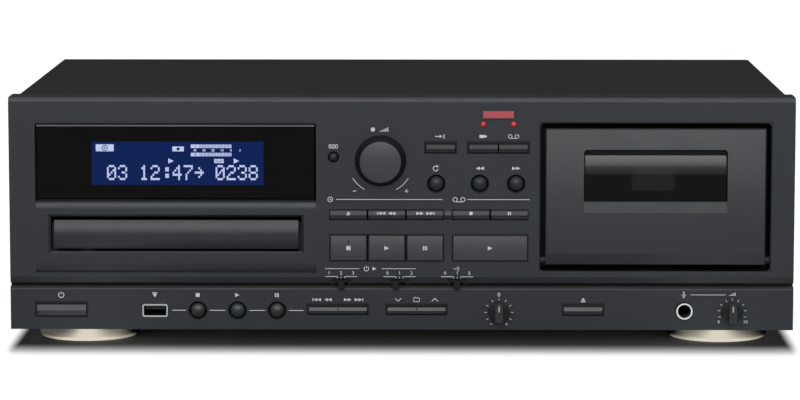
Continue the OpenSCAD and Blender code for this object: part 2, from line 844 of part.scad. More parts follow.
module lcd_module() {
    front = wall_back + 1;
    x1 = lcd_x + lcd_w;
    z0 = up(lcd_up);
    color("#0d2a66") difference() {
        union() {
            block(lcd_x - lcd_rim_x, x1 + lcd_rim_x, front + 1.6, board_y,
                z0 - lcd_rim_z, z0 + lcd_h + lcd_rim_z);
            cap_block(lcd_x + lcd_w / 2, z0 + lcd_h / 2, lcd_w + 3, lcd_h + 3, front, front + 2, 0.4);
        }
        block(lcd_x, x1, front - 1, front + 0.4, z0, z0 + lcd_h);
    }
}

// A push switch on a board, under a key's stem
module tact(x, z) {
    half = tact_w / 2;
    block(x - half, x + half, board_y - tact_h + 0.8, board_y + eps, z - half, z + half);
    rod_y(x, z, stem_r, board_y - tact_h, board_y);
}

// A potentiometer or encoder on a board, bored for a knob's shaft
module pot(x, z) {
    difference() {
        block(x - pot_w / 2, x + pot_w / 2, board_y - pot_h, board_y + eps, z - pot_w / 2, z + pot_w / 2);
        rod_y(x, z, shaft_r + fit, board_y - pot_h - 1, board_y - 0.5);
    }
}

board_x1 = door_x - well_x - well_t - 0.8;
strip_top = up(groove_up - 1.3);
module front_board() {
    display_low = up(window_up - 2);
    color("#2d5a34") {
        along_y(board_y, board_y + board_t) polygon([
            [block_x - 6, strip_top + 0.6], [board_x1, strip_top + 0.6], [board_x1, top_z - panel_t - 1],
            [window_x + 2, top_z - panel_t - 1], [window_x + 2, display_low], [block_x - 6, display_low]]);
        for (i = [0:2], h = [big_up, small_up]) tact(cd_key_x(i), up(h));
        for (i = [0:1]) tact(tape_key_x(i), up(small_up));
        tact(tape_key_x(0.5), up(big_up));
        for (x = bar_x) tact(x, up(bar_up));
        for (x = round_x) tact(x, up(round_up));
        tact(reset_x, up(reset_up));
        pot(level_x, up(level_up));
        for (x = slide_x) block(x - slide_window_w / 2, x + slide_window_w / 2, board_y - slide_body_t,
            board_y + eps, up(slide_up) - slide_plate_h / 2, up(slide_up) + slide_plate_h / 2);
        difference() {
            block(left_x + panel_t + 2, right_x - panel_t - 2, board_y, board_y + board_t,
                base_z + panel_t + 0.5, strip_top);
            block(mic_x - mic_body / 2 - 1, mic_x + mic_body / 2 + 1, board_y - 1, board_y + board_t + 1,
                base_z + panel_t + 1.2, strip_top + 1);
        }
        for (x = port_key_x) tact(x, up(strip_up));
        for (x = rocker_x, s = [-1, 1]) tact(x + s * rocker_w * 0.36, up(strip_up));
        for (x = [power_x, eject_x]) tact(x, up(strip_up));
        for (x = [pitch_x, mic_level_x]) pot(x, up(dial_up));
    }
}

// The main board carries three capacitors, a finned heat sink and a large chip
module main_board() {
    sink_x = main_x0 + sink_in[0];
    sink_y = main_y0 + sink_in[1];
    chip_x = main_x0 + chip_in[0];
    chip_y = main_y0 + chip_in[1];
    color("#2d5a34") {
        block(main_x0, main_x1, main_y0, main_y1, main_z, main_z + board_t);
        for (i = [0:2]) translate([main_x1 - cap_in[0] - i * cap_pitch, main_y0 + cap_in[1], main_z])
            cylinder(r = cap_r, h = cap_h);
        for (i = [0:fins - 1]) block(sink_x, sink_x + sink_w, sink_y + i * fin_pitch,
            sink_y + i * fin_pitch + fin_t, main_z, main_z + sink_h);
        block(sink_x, sink_x + sink_w, sink_y, sink_y + (fins - 1) * fin_pitch + fin_t,
            main_z, main_z + sink_base);
        block(chip_x, chip_x + chip_w, chip_y, chip_y + chip_w, main_z, main_z + chip_h);
    }
}

module power_transformer() {
    side = trafo_w / 2;
    low = floor_z + tab_t;
    color("#4a4640") difference() {
        union() {
            block(trafo_x - side, trafo_x + side, trafo_y - core_d / 2, trafo_y + core_d / 2,
                low, low + trafo_h);
            along_z(floor_z + coil_low, floor_z + trafo_h - coil_high)
                round_rect(trafo_x - side + coil_in, trafo_y - trafo_d / 2,
                    trafo_w - 2 * coil_in, trafo_d, coil_round);
            block(trafo_x - side - tab_w, trafo_x + side + tab_w, trafo_y - tab_d / 2, trafo_y + tab_d / 2,
                floor_z, low + eps);
        }
        for (s = [-1, 1]) translate([trafo_x + s * (side + tab_w / 2), trafo_y, floor_z - 1])
            cylinder(r = tab_hole_r, h = tab_t + 2);
    }
}

// Sockets

jack_spots = [for (i = [0:1], j = [0:1]) [jack_x + i * jack_pitch, up(jack_up) + j * jack_pitch]];
module line_jacks() {
    tip = back_y + jack_proud;
    collar_y = rear_y + jack_collar;
    color("#202022") difference() {
        union() {
            block(jack_x - jack_pitch / 2, jack_x + jack_pitch * 1.5, rear_y - sheet_t - jack_body,
                rear_y - sheet_t, up(jack_up) - jack_pitch / 2, up(jack_up) + jack_pitch * 1.5);
            for (p = jack_spots) rod_y(p[0], p[1], jack_r + 0.9, rear_y - sheet_t - eps, collar_y);
            block(jack_x - 4, jack_x + jack_pitch + 4, rear_y - jack_body + 1, rear_y - sheet_t - 3,
                main_z + board_t, up(jack_up));
        }
        for (p = jack_spots) rod_y(p[0], p[1], jack_r + seam, collar_y - jack_seat, collar_y + 1);
    }
    color("#c4c4c0") for (p = jack_spots) difference() {
        rod_y(p[0], p[1], jack_r, collar_y - jack_seat + seam, tip);
        rod_y(p[0], p[1], jack_bore_r, back_y + 1.5, tip + 1);
    }
}

module mains_inlet() {
    z = up(inlet_up);
    w = inlet_w + 2 * inlet_wall - 2 * slip;
    h = inlet_h + 2 * inlet_wall - 2 * slip;
    color("#161617") {
        difference() {
            union() {
                along_y(rear_y - inlet_d - 3, rear_y + eps) round_rect(inlet_x - w / 2, z - h / 2, w, h, 1);
                along_y(rear_y, rear_y + 1.5) round_rect(inlet_x - w / 2 - 2, z - h / 2 - 2, w + 4, h + 4, 2);
            }
            along_y(rear_y - inlet_d, rear_y + 3)
                round_rect(inlet_x - inlet_w / 2, z - inlet_h / 2, inlet_w, inlet_h, inlet_h / 2 - 0.01);
        }
        for (s = [-1, 1])
            rod_y(inlet_x + s * inlet_pitch / 2, z, inlet_pin_r, rear_y - inlet_d - 1, rear_y - 2);
    }
}

module usb_socket() {
    z = up(strip_up);
    front = face_y - 0.6;
    color("#c8c9cb") {
        difference() {
            along_y(front, board_y) round_rect(port_x - port_w / 2, z - port_h / 2, port_w, port_h, 1.2);
            along_y(front - 1, board_y - 1) round_rect(port_x - port_w / 2 + port_t, z - port_h / 2 + port_t,
                port_w - 2 * port_t, port_h - 2 * port_t, 0.6);
        }
        block(port_x - 5.5, port_x + 5.5, front + 2.2, board_y - 0.5, z + 0.4, z + 2.2);
    }
}

module mic_jack() {
    z = up(strip_up);
    bore_y = wall_back + 0.5;
    color("#c9c9c6") difference() {
        union() {
            rod_y(mic_x, z, mic_nut_r, face_y - 1, wall_back + eps);
            block(mic_x - mic_body / 2, mic_x + mic_body / 2, wall_back, wall_back + mic_len,
                z - mic_body / 2, z + mic_body / 2);
        }
        rod_y(mic_x, z, mic_hole_r, face_y - 2, bore_y);
        rod_y(mic_x, z, mic_bore_r, bore_y - 1, wall_back + mic_len - 2);
    }
}

module record_lamps() {
    color("#c8323a") for (x = [bar_x[1], bar_x[2]]) {
        rod_y(x, up(lamp_up), lamp_r, face_y - 0.2, board_y);
        translate([x, face_y - 0.2, up(lamp_up)]) intersection() {
            sphere(lamp_r);
            translate([0, -lamp_r / 2 - 0.3, 0]) cube([4, lamp_r + 0.6, 4], center = true);
        }
    }
}

// Disc drawer

module drawer_front() {
    front = face_y + drawer_sunk;
    color("#3b3c40") intersection() {
        block(drawer_x - drawer_w / 2, drawer_x + drawer_w / 2, front - 1, front + drawer_t,
            drawer_z - drawer_h / 2, drawer_z + drawer_h / 2);
        rod_x(drawer_x - drawer_w, drawer_x + drawer_w, front + drawer_arc_r, drawer_z, drawer_arc_r);
    }
}

module tray_outline() {
    translate([drawer_x - tray_w / 2, tray_y]) square([tray_w, tray_l]);
}

module rack() {
    z0 = tray_z - tray_t - rack_h;
    step = PI * tooth_m;
    half_tip = step / 4 - tooth_m * tan(pressure) - backlash / 4;
    half_root = step / 4 + 1.25 * tooth_m * tan(pressure) - backlash / 4;
    count = floor((tray_l - 12) / step / 2);
    x0 = rack_x;
    block(x0 - rack_t, x0, tray_y + 2, tray_y + tray_l - 2, z0, tray_z - tray_t + eps);
    for (k = [-2 * count:2 * count]) {
        y = gear_y + (k + 0.5) * step;
        if (y > tray_y + 4 && y < tray_y + tray_l - 4) along_z(z0, tray_z - tray_t) polygon([
            [x0 - eps, y - half_root], [x0 + 2.25 * tooth_m - slip, y - half_tip],
            [x0 + 2.25 * tooth_m - slip, y + half_tip], [x0 - eps, y + half_root]]);
    }
}

module drawer_tray() {
    color("#242426") difference() {
        union() {
            along_z(tray_z - tray_t, tray_z) tray_outline();
            for (s = [-1, 1]) block(drawer_x + s * (tray_w / 2 + flange_out / 2) - flange_out / 2 - eps,
                drawer_x + s * (tray_w / 2 + flange_out / 2) + flange_out / 2 + eps,
                tray_y + 10, tray_y + tray_l, tray_z - flange_t, tray_z);
            rack();
        }
        translate([drawer_x, disc_y, tray_z - well_d]) cylinder(r = well_r, h = well_d + 1);
        translate([drawer_x, disc_y, tray_z - well_d - small_well_d])
            cylinder(r = small_well_r, h = well_d + 2);
        block(drawer_x - tray_slot_w / 2, drawer_x + tray_slot_w / 2, disc_y, tray_y + tray_l + 1,
            tray_z - tray_t - rack_h - 1, tray_z + 1);
        translate([drawer_x, disc_y, tray_z - tray_t - 1]) cylinder(r = tray_slot_w / 2, h = tray_t + 2);
        for (s = [-1, 1]) translate([drawer_x + s * (well_r - 2), disc_y - well_r + 14, tray_z - well_d])
            cylinder(r = 9, h = well_d + 1);
    }
}

module loader_posts() {
    for (s = [-1, 1], y = [loader_y + 22, loader_y + loader_l - 12])
        translate([drawer_x + s * (loader_x - 6), y, floor_z]) cylinder(r = 4, h = loader_z - floor_z + eps);
}

module loader_wall_shape(s) {
    rail_z = tray_z - flange_t - slip;
    x0 = drawer_x + s * loader_x;
    out = s * loader_wall;
    block(min(x0, x0 + out), max(x0, x0 + out), loader_y, loader_y + loader_l,
        loader_z, tray_z + slip + rail_t);
    inner = x0 - s * (flange_out - slip);
    for (z = [rail_z - rail_t, tray_z + slip]) block(min(inner, x0), max(inner, x0) + eps, loader_y,
        loader_y + loader_l, z, z + rail_t);
}

module cd_loader_frame() {
    well_hole = 27;
    color("#55575a") difference() {
        union() {
            block(drawer_x - loader_x, drawer_x + loader_x, loader_y, loader_y + loader_l, loader_z,
                loader_z + loader_t);
            for (s = [-1, 1]) loader_wall_shape(s);
            for (s = [-1, 1]) block(drawer_x + s * (loader_x + loader_wall / 2) - loader_wall / 2,
                drawer_x + s * (loader_x + loader_wall / 2) + loader_wall / 2, disc_y - bridge_w / 2,
                disc_y + bridge_w / 2, tray_z, bridge_z + bridge_t);
            difference() {
                block(drawer_x - loader_x - eps, drawer_x + loader_x + eps, disc_y - bridge_w / 2,
                    disc_y + bridge_w / 2, bridge_z, bridge_z + bridge_t);
                translate([drawer_x, disc_y, bridge_z - 1]) cylinder(r = puck_r - 2, h = bridge_t + 2);
            }
            loader_posts();
            translate([gear_x, gear_y, loader_z]) cylinder(r = gear_pin_r, h = gear_z + gear_t - loader_z);
            translate([drawer_x, disc_y, loader_z - motor_h])
                cylinder(r = motor_r, h = motor_h + loader_t + 2);
            for (s = [-1, 1], e = [0, 1]) block(drawer_x + s * rod_x - 3, drawer_x + s * rod_x + 3,
                pickup_rod_y[e] - 2, pickup_rod_y[e] + 2, loader_z, rod_z + 3);
            for (s = [-1, 1]) rod_y(drawer_x + s * rod_x, rod_z, rod_r, pickup_rod_y[0], pickup_rod_y[1]);
        }
        translate([drawer_x, disc_y, loader_z - motor_h + 2]) cylinder(r = spindle_r + fit, h = motor_h + 9);
        block(drawer_x - rod_x + 6, drawer_x + rod_x - 6, pickup_rod_y[0] + 6, pickup_rod_y[1] - 4,
            loader_z - 1, loader_z + loader_t + 1);
        block(drawer_x + rod_x + 10, drawer_x + loader_x - 14, disc_y - well_hole, disc_y + 3 * well_hole,
            loader_z - 1, loader_z + loader_t + 1);
    }
}
pickup_rod_y = [disc_y + 6, disc_y + pickup_in + pickup_travel + pickup_d / 2 + 6];

// Involute outline of the loading gear, worked out from the module and the number of teeth
base_r = pitch_r * cos(pressure);
root_r = pitch_r - 1.2 * tooth_m;
tip_r = pitch_r + 0.95 * tooth_m;
function involute(r) = r <= base_r ? 0 : tan(acos(base_r / r)) * 180 / PI - acos(base_r / r);
half_tooth = 90 / gear_teeth - backlash / pitch_r * 45 / PI;
function flank(r) = half_tooth + involute(pitch_r) - involute(r);
flank_r = [for (i = [0:4]) max(base_r, root_r) + (tip_r - max(base_r, root_r)) * i / 4];
module gear_outline() {
    step = 360 / gear_teeth;
    polygon([for (k = [0:gear_teeth - 1]) let (a = 180 + k * step) each concat(
        [[root_r * cos(a - flank(base_r) - 0.5), root_r * sin(a - flank(base_r) - 0.5)]],
        [for (r = flank_r) [r * cos(a - flank(r)), r * sin(a - flank(r))]],
        [for (i = [4:-1:0]) let (r = flank_r[i]) [r * cos(a + flank(r)), r * sin(a + flank(r))]],
        [[root_r * cos(a + flank(base_r) + 0.5), root_r * sin(a + flank(base_r) + 0.5)]])]);
}

module loading_gear() {
    hub_z = loader_z + loader_t + slip;
    color("#d9d6c8") difference() {
        union() {
            translate([gear_x, gear_y, 0]) along_z(gear_z, gear_z + gear_t) gear_outline();
            translate([gear_x, gear_y, hub_z]) cylinder(r = gear_pin_r + 2, h = gear_z - hub_z + eps);
        }
        translate([gear_x, gear_y, hub_z - 1])
            cylinder(r = gear_pin_r + fit, h = gear_z + gear_t - hub_z + 2);
    }
}

module turntable() {
    shaft_z = loader_z - motor_h + 3;
    color("#2b2b2d") {
        translate([drawer_x, disc_y, table_z - 2]) cylinder(r = table_r, h = 2);
        translate([drawer_x, disc_y, table_z - eps]) cylinder(r1 = hub_r, r2 = hub_r - 1.6, h = 2.4);
        translate([drawer_x, disc_y, shaft_z]) cylinder(r = spindle_r, h = table_z - shaft_z - 1);
        translate([drawer_x, disc_y, bridge_z + bridge_t + slip]) cylinder(r = puck_r, h = 2);
        translate([drawer_x, disc_y, bridge_z - slip])
            cylinder(r = puck_r - 2.4, h = bridge_t + 2 * slip + eps);
    }
}

module optical_pickup() {
    y = disc_y + pickup_in;
    x = drawer_x;
    top = rod_z + 4;
    color("#6b6f76") difference() {
        union() {
            block(x - rod_x - 4, x + rod_x + 4, y - pickup_d / 2, y + pickup_d / 2, rod_z - 3, top);
            translate([x, y, top - eps]) cylinder(r = lens_r + 3, h = 1.2);
            translate([x, y, top]) cylinder(r = lens_r, h = 2.4);
        }
        for (s = [-1, 1]) rod_y(x + s * rod_x, rod_z, rod_r + fit, y - pickup_d, y + pickup_d);
        translate([x, y, top + 1.8]) cylinder(r = lens_r - 1.2, h = 2);
    }
}

// Cassette door

module door_outline() {
    z0 = door_z;
    polygon([
        [door_back, z0], [door_back, z0 + door_h], [door_front + 0.5, z0 + door_h],
        [door_front, z0 + door_h - 0.5], [door_front, z0 + door_bevel_h], [door_front + door_bevel_d, z0]]);
}

module cassette_door() {
    frame_z = door_z + glass_frame_up;
    color("#3f4044") difference() {
        union() {
            intersection() {
                along_x(door_x - door_w / 2, door_x + door_w / 2) door_outline();
                along_z(door_z - 1, door_z + door_h + 1) polygon([
                    [door_x - door_w / 2, door_back], [door_x - door_w / 2, door_front + 0.5],
                    [door_x - door_w / 2 + 0.5, door_front], [door_x + door_w / 2 - 0.5, door_front],
                    [door_x + door_w / 2, door_front + 0.5], [door_x + door_w / 2, door_back]]);
            }
            difference() {
                block(door_x - glass_frame_w / 2 - 2, door_x + glass_frame_w / 2 + 2, door_back - eps, web_y,
                    frame_z - 1, frame_z + glass_frame_h + 2);
                block(door_x - glass_frame_w / 2, door_x + glass_frame_w / 2, door_front, web_y + 1,
                    glass_z - 1.5, frame_z + glass_frame_h);
            }
        }
        intersection() {
            along_x(door_x - glass_frame_w / 2, door_x + glass_frame_w / 2) polygon([
                [door_front - 1, frame_z - 1.2], [door_front, frame_z], [glass_y + 0.4, glass_z],
                [glass_y + 0.4, glass_z - 1.5], [web_y + 1, glass_z - 1.5],
                [web_y + 1, frame_z + glass_frame_h], [door_front - 1, frame_z + glass_frame_h]]);
            along_y(door_front - 1, web_y + 1)
                round_rect(door_x - glass_frame_w / 2, frame_z - 3, glass_frame_w, glass_frame_h + 3, 2);
        }
    }
}

// The window is flat below and bends back along its top
module glass_outline() {
    bend_z = glass_z + glass_h - glass_bend_h;
    translate([glass_y, glass_z - 1.2]) square([glass_t, glass_h - glass_bend_h + 1.2 + eps]);
    intersection() {
        difference() {
            translate([glass_y + glass_bend_r, bend_z]) circle(glass_bend_r, $fn = 200);
            translate([glass_y + glass_bend_r, bend_z]) circle(glass_bend_r - glass_t, $fn = 200);
        }
        translate([glass_y - 1, bend_z]) square([glass_bend_d + glass_t + 1.6, glass_bend_h]);
    }
}

module cassette_window() {
    color("#101012") difference() {
        along_x(door_x - glass_w / 2, door_x + glass_w / 2) glass_outline();
        block(door_x - glass_w, door_x + glass_w, glass_y - 1, glass_y + 0.4 + slip,
            glass_z - 3, glass_z - 0.01);
    }
}

// The carrier holds the cassette by its two sides, open behind for the reels and below for the heads
module cassette_carrier() {
    z0 = cassette_z - channel_t;
    half = pocket_w / 2;
    back = pocket_y + pocket_d;
    color("#1d1d1f") difference() {
        union() {
            block(door_x - half - channel_t, door_x + half + channel_t, web_y, pocket_y, z0, carrier_top);
            for (s = [-1, 1]) {
                a = door_x + s * half;
                b = a + s * channel_t;
                block(min(a, b), max(a, b), web_y, back + channel_t, z0, carrier_top);
                c = a - s * lip_w;
                block(min(c, b), max(c, b), back, back + channel_t, z0, carrier_top);
                d = a - s * 14;
                block(min(d, b), max(d, b), web_y, back + channel_t, z0, cassette_z);
                e = door_x + s * ear_x;
                f = e + s * ear_t;
                block(min(e, f), max(e, f), hinge_y - ear_r, hinge_y + ear_r, hinge_z, z0 + 12);
                block(min(e, f), max(e, f), web_y, hinge_y + ear_r, z0, z0 + 12);
                rod_x(min(e, f), max(e, f), hinge_y, hinge_z, ear_r);
                block(min(b - s * eps, f), max(b - s * eps, f), web_y, hinge_y + ear_r, z0, z0 + 12);
            }
            for (s = [-1, 1]) block(door_x + s * 46 - 6, door_x + s * 46 + 6, door_back, web_y + eps,
                z0 + 2, z0 + 14);
        }
        for (s = [-1, 1]) rod_x(door_x + s * (ear_x + ear_t / 2) - 4, door_x + s * (ear_x + ear_t / 2) + 4,
            hinge_y, hinge_z, hinge_r + fit);
        panel_cut(door_x, glass_z + glass_h / 2, glass_w - 2, glass_h - 2, web_y - 1, pocket_y + 1, 1);
    }
}

// Cassette transport

// The walls of the well, with the pins that the door turns on
module well_walls() {
    x0 = door_x - well_x;
    x1 = door_x + well_x;
    difference() {
        block(x0 - well_t, x1 + well_t, wall_back, well_y - seam, well_z0 - well_t, well_z1 + well_t);
        block(x0, x1, wall_back - 1, well_y, well_z0, well_z1);
    }
    for (s = [-1, 1]) {
        pin_in = door_x + s * (ear_x - 0.2);
        pin_out = door_x + s * (well_x + eps);
        rod_x(min(pin_in, pin_out), max(pin_in, pin_out), hinge_y, hinge_z, hinge_r);
        shoulder = door_x + s * (ear_x + ear_t + slip);
        rod_x(min(shoulder, pin_out), max(shoulder, pin_out), hinge_y, hinge_z, hinge_r + 1);
    }
}

// The plate behind the well, with the pins for the reels and the head bridge, and the lit pane
module deck_plate() {
    difference() {
        union() {
            block(door_x - well_x - well_t, door_x + well_x + well_t, well_y, well_y + plate_t,
                well_z0 - well_t, well_z1 + well_t);
            for (s = [-1, 1]) {
                rod_y(door_x + s * reel_pitch / 2, reel_z, reel_pin_r, well_y - reel_len + 1, well_y + eps);
                rod_y(door_x + s * guide_x, guide_z, guide_r, bridge_y - 1.2, well_y + eps);
                rod_y(door_x + s * guide_x, guide_z, guide_r + 1.2, bridge_back + 0.2, well_y + eps);
            }
            panel_cut(door_x, reel_z + backlight_up, backlight_w, backlight_h, well_y - 0.8, well_y + eps, 1);
            rod_y(capstan_x, capstan_z, capstan_r + 2, bridge_y + slip, well_y + eps);
        }
        rod_y(capstan_x, capstan_z, capstan_r + fit, well_y - 5, well_y + plate_t + 1);
    }
}

module tape_deck_frame() {
    back = well_y + plate_t;
    color("#2c2d2f") well_walls();
    color("#6a6c6f") deck_plate();
    color("#8a8c8e") rod_y(door_x - tape_motor_out, reel_z - tape_motor_low, tape_motor_r, back + seam,
        back + tape_motor_l);
}

module reel(s) {
    x = door_x + s * reel_pitch / 2;
    base = well_y - slip;
    color("#26272a") difference() {
        union() {
            rod_y(x, reel_z, reel_base_r, base - 1.6, base);
            rod_y(x, reel_z, reel_hub_r, base - reel_len + 1.4, base);
            cone_y(x, reel_z, reel_hub_r - 1.4, reel_hub_r, base - reel_len, base - reel_len + 1.4);
            for (a = [0:2]) translate([x, base, reel_z]) rotate([90, a * 120, 0])
                translate([-0.6, 0, 0]) cube([1.2, reel_hub_r + reel_fin, reel_len - 2]);
        }
        rod_y(x, reel_z, reel_pin_r + fit, base - reel_len + 0.9, base + 1);
    }
}

module capstan() {
    wheel = well_y + plate_t + slip;
    color("#b9bbbd") {
        rod_y(capstan_x, capstan_z, capstan_r, pocket_y + 3, wheel + eps);
        rod_y(capstan_x, capstan_z, flywheel_r, wheel, wheel + flywheel_t);
    }
}

module head_bridge() {
    z0 = cassette_z - bridge_below;
    slot_top = guide_z + guide_r + 0.2;
    slot_low = slot_top - bridge_lift - 2 * guide_r - 0.4;
    color("#c2c3c4") {
        difference() {
            union() {
                block(door_x - bridge_x, door_x + bridge_x, bridge_y, bridge_back,
                    z0 - 1, cassette_z - 2.5);
                block(door_x - head_w / 2, door_x + head_w / 2, bridge_y - head_d, bridge_y + eps,
                    z0 + 2, head_top);
                block(capstan_x - 2.5, capstan_x + 2.5, bridge_y, bridge_back, z0, pinch_z + 2);
            }
            for (x = [door_x - guide_x, door_x + guide_x]) block(x - guide_r - 0.2, x + guide_r + 0.2,
                bridge_y - 1, bridge_back + 1, slot_low, slot_top);
            panel_cut(door_x, head_top, 4, 1.6, bridge_y - head_d - 1, bridge_y - head_d + 3, 0.4);
        }
        rod_y(capstan_x, pinch_z, capstan_r, bridge_y - pinch_t - 1.4, bridge_y + eps);
    }
}

module pinch_roller() {
    color("#17171a") difference() {
        rod_y(capstan_x, pinch_z, pinch_r, bridge_y - slip - pinch_t, bridge_y - slip);
        rod_y(capstan_x, pinch_z, capstan_r + fit, bridge_y - pinch_t - 2, bridge_y);
    }
}

// Keys and knobs

module big_key(x, w) {
    z = up(big_up);
    color("#46474b") {
        cap_block(x, z, w, big_key_h, face_y - 1, wall_back + key_seat + eps, 0.5);
        key_back(x, z, w, big_key_h, 0);
    }
}

module small_key(x) {
    z = up(small_up);
    color("#505155") {
        ridge_block(x, z, key_wide, small_key_h, face_y - small_key_proud, wall_back + key_seat + eps);
        key_back(x, z, key_wide, small_key_h, 0);
    }
}

module bar_key(x, w, h, z, travel = key_travel, lip_x = 0) {
    color("#4a4b4f") {
        ridge_block(x, z, w, h, face_y - 0.6, wall_back + key_seat + eps);
        key_back(x, z, w, h, lip_x, travel);
    }
}

module round_key(x, z, r) {
    dome_r = r * 1.12;
    color("#2e2f32") {
        intersection() {
            rod_y(x, z, r, face_y - 1.8, wall_back + key_seat + eps);
            translate([x, face_y - 1.6 + dome_r, z]) sphere(dome_r);
        }
        rod_y(x, z, r + key_clear + 0.8, wall_back + key_seat, wall_back + key_seat + key_plate);
        rod_y(x, z, min(stem_r, r), wall_back + key_seat, stem_end);
    }
}

module rocker(x) {
    z = up(strip_up);
    color("#4a4b4f") {
        difference() {
            ridge_block(x, z, rocker_w, rocker_h, face_y - 0.6, rocker_y + 1.2);
            block(x - 0.3, x + 0.3, face_y - 2, face_y + 0.2, z - rocker_h, z + rocker_h);
        }
        translate([x, rocker_y, z - rocker_h / 2 - 2.9]) cylinder(r = axle_r, h = rocker_h + 5.8);
        for (s = [-1, 1]) rod_y(x + s * rocker_w * 0.36, z, stem_r, rocker_y, stem_end);
    }
}

// A shaft from a knob's back into the bore of its potentiometer
module knob_shaft(x, z) rod_y(x, z, shaft_r, face_y - 1.5, board_y - 1);

// A knob with a slanting side and a slightly domed face
module rec_level_knob() {
    z = up(level_up);
    len = knob_proud - level_gap;
    color("#37383b") {
        intersection() {
            turned(level_x, face_y - level_gap, z)
                polygon([[0, 0], [level_base_r, 0], [level_face_r, len], [0, len]]);
            translate([level_x, face_y - knob_proud + level_dome_r, z]) sphere(level_dome_r);
        }
        knob_shaft(level_x, z);
    }
}

// A disc with a finger bar across it, and a groove in the bar for a pointer
module dial(x) {
    z = up(dial_up);
    back = face_y - 0.4;
    bar_half = dial_r * 0.38;
    color("#2a2b2d") {
        difference() {
            union() {
                rod_y(x, z, dial_r, back - 2.6, back);
                cone_y(x, z, dial_r - 0.6, dial_r, back - 3.2, back - 2.6);
                intersection() {
                    cone_y(x, z, dial_r - 0.9, dial_r - 0.2, back - 9, back);
                    block(x - bar_half, x + bar_half, back - 9, back, z - dial_r, z + dial_r);
                }
            }
            block(x - 0.45, x + 0.45, back - 10, back - 8.6, z + 1, z + dial_r);
        }
        knob_shaft(x, z);
    }
}

module slide_knob(x) {
    z = up(slide_up);
    color("#1b1c1e") {
        front = face_y - slip;
        block(x - slide_cap_w / 2, x + slide_cap_w / 2, front - slide_cap_t, front,
            z - slide_cap_h / 2, z + slide_cap_h / 2);
        block(x - slide_w / 2, x + slide_w / 2, front - eps, board_y - slide_body_t - slip,
            z - slide_neck / 2, z + slide_neck / 2);
        block(x - slide_plate_w / 2, x + slide_plate_w / 2, rib_back + slip, rib_back + slip + 1,
            z - slide_plate_h / 2, z + slide_plate_h / 2);
    }
}

function cd_key_x(i) = block_x + key_wide / 2 + i * key_step;
function tape_key_x(i) = tape_keys_x + key_wide / 2 + i * key_step;
module port_key(i) round_key(port_key_x[i], up(strip_up), round_r);
module tape_play_button() big_key(tape_key_x(0.5), key_wide + key_step);
module power_button() bar_key(power_x, power_w, power_h, up(strip_up), power_travel, key_lip);
module eject_button() bar_key(eject_x, eject_w, eject_h, up(strip_up), eject_travel, key_lip);

front_panel();
top_cover();
bottom_chassis();
rear_panel();
feet();
case_screws();
display_window();
lcd_module();
front_board();
main_board();
power_transformer();
line_jacks();
mains_inlet();
usb_socket();
mic_jack();
record_lamps();
drawer_front();
drawer_tray();
cd_loader_frame();
loading_gear();
turntable();
optical_pickup();
cassette_door();
cassette_window();
cassette_carrier();
tape_deck_frame();
reel(-1);  // supply_reel
reel(1);  // takeup_reel
capstan();
head_bridge();
pinch_roller();
power_button();
port_key(0);  // usb_stop_button
port_key(1);  // usb_play_button
port_key(2);  // usb_pause_button
rocker(rocker_x[0]);  // usb_skip_rocker
rocker(rocker_x[1]);  // folder_rocker
dial(pitch_x);  // pitch_knob
eject_button();
dial(mic_level_x);  // mic_level_knob
round_key(reset_x, up(reset_up), reset_r);  // counter_reset_button
rec_level_knob();
bar_key(bar_x[0], bar_wide, bar_h, up(bar_up));  // source_button
bar_key(bar_x[1], bar_wide, bar_h, up(bar_up));  // record_usb_button
bar_key(bar_x[2], bar_wide, bar_h, up(bar_up));  // record_tape_button
round_key(round_x[0], up(round_up), round_r);  // repeat_button
round_key(round_x[1], up(round_up), round_r);  // rewind_button
round_key(round_x[2], up(round_up), round_r);  // fast_forward_button
small_key(cd_key_x(0));  // cd_open_button
small_key(cd_key_x(1));  // cd_back_button
small_key(cd_key_x(2));  // cd_next_button
small_key(tape_key_x(0));  // tape_stop_button
small_key(tape_key_x(1));  // tape_pause_button
big_key(cd_key_x(0), key_wide);  // cd_stop_button
big_key(cd_key_x(1), key_wide);  // cd_play_button
big_key(cd_key_x(2), key_wide);  // cd_pause_button
tape_play_button();
slide_knob(slide_x[0]);  // start_source_switch
slide_knob(slide_x[1] - slide_step);  // start_mode_switch
slide_knob(slide_x[2]);  // echo_switch
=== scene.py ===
"""Looks of a full-width hi-fi deck for discs and cassettes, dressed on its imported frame. Metres, Z up."""
import math

import bmesh
import bpy
from mathutils import Matrix, Vector


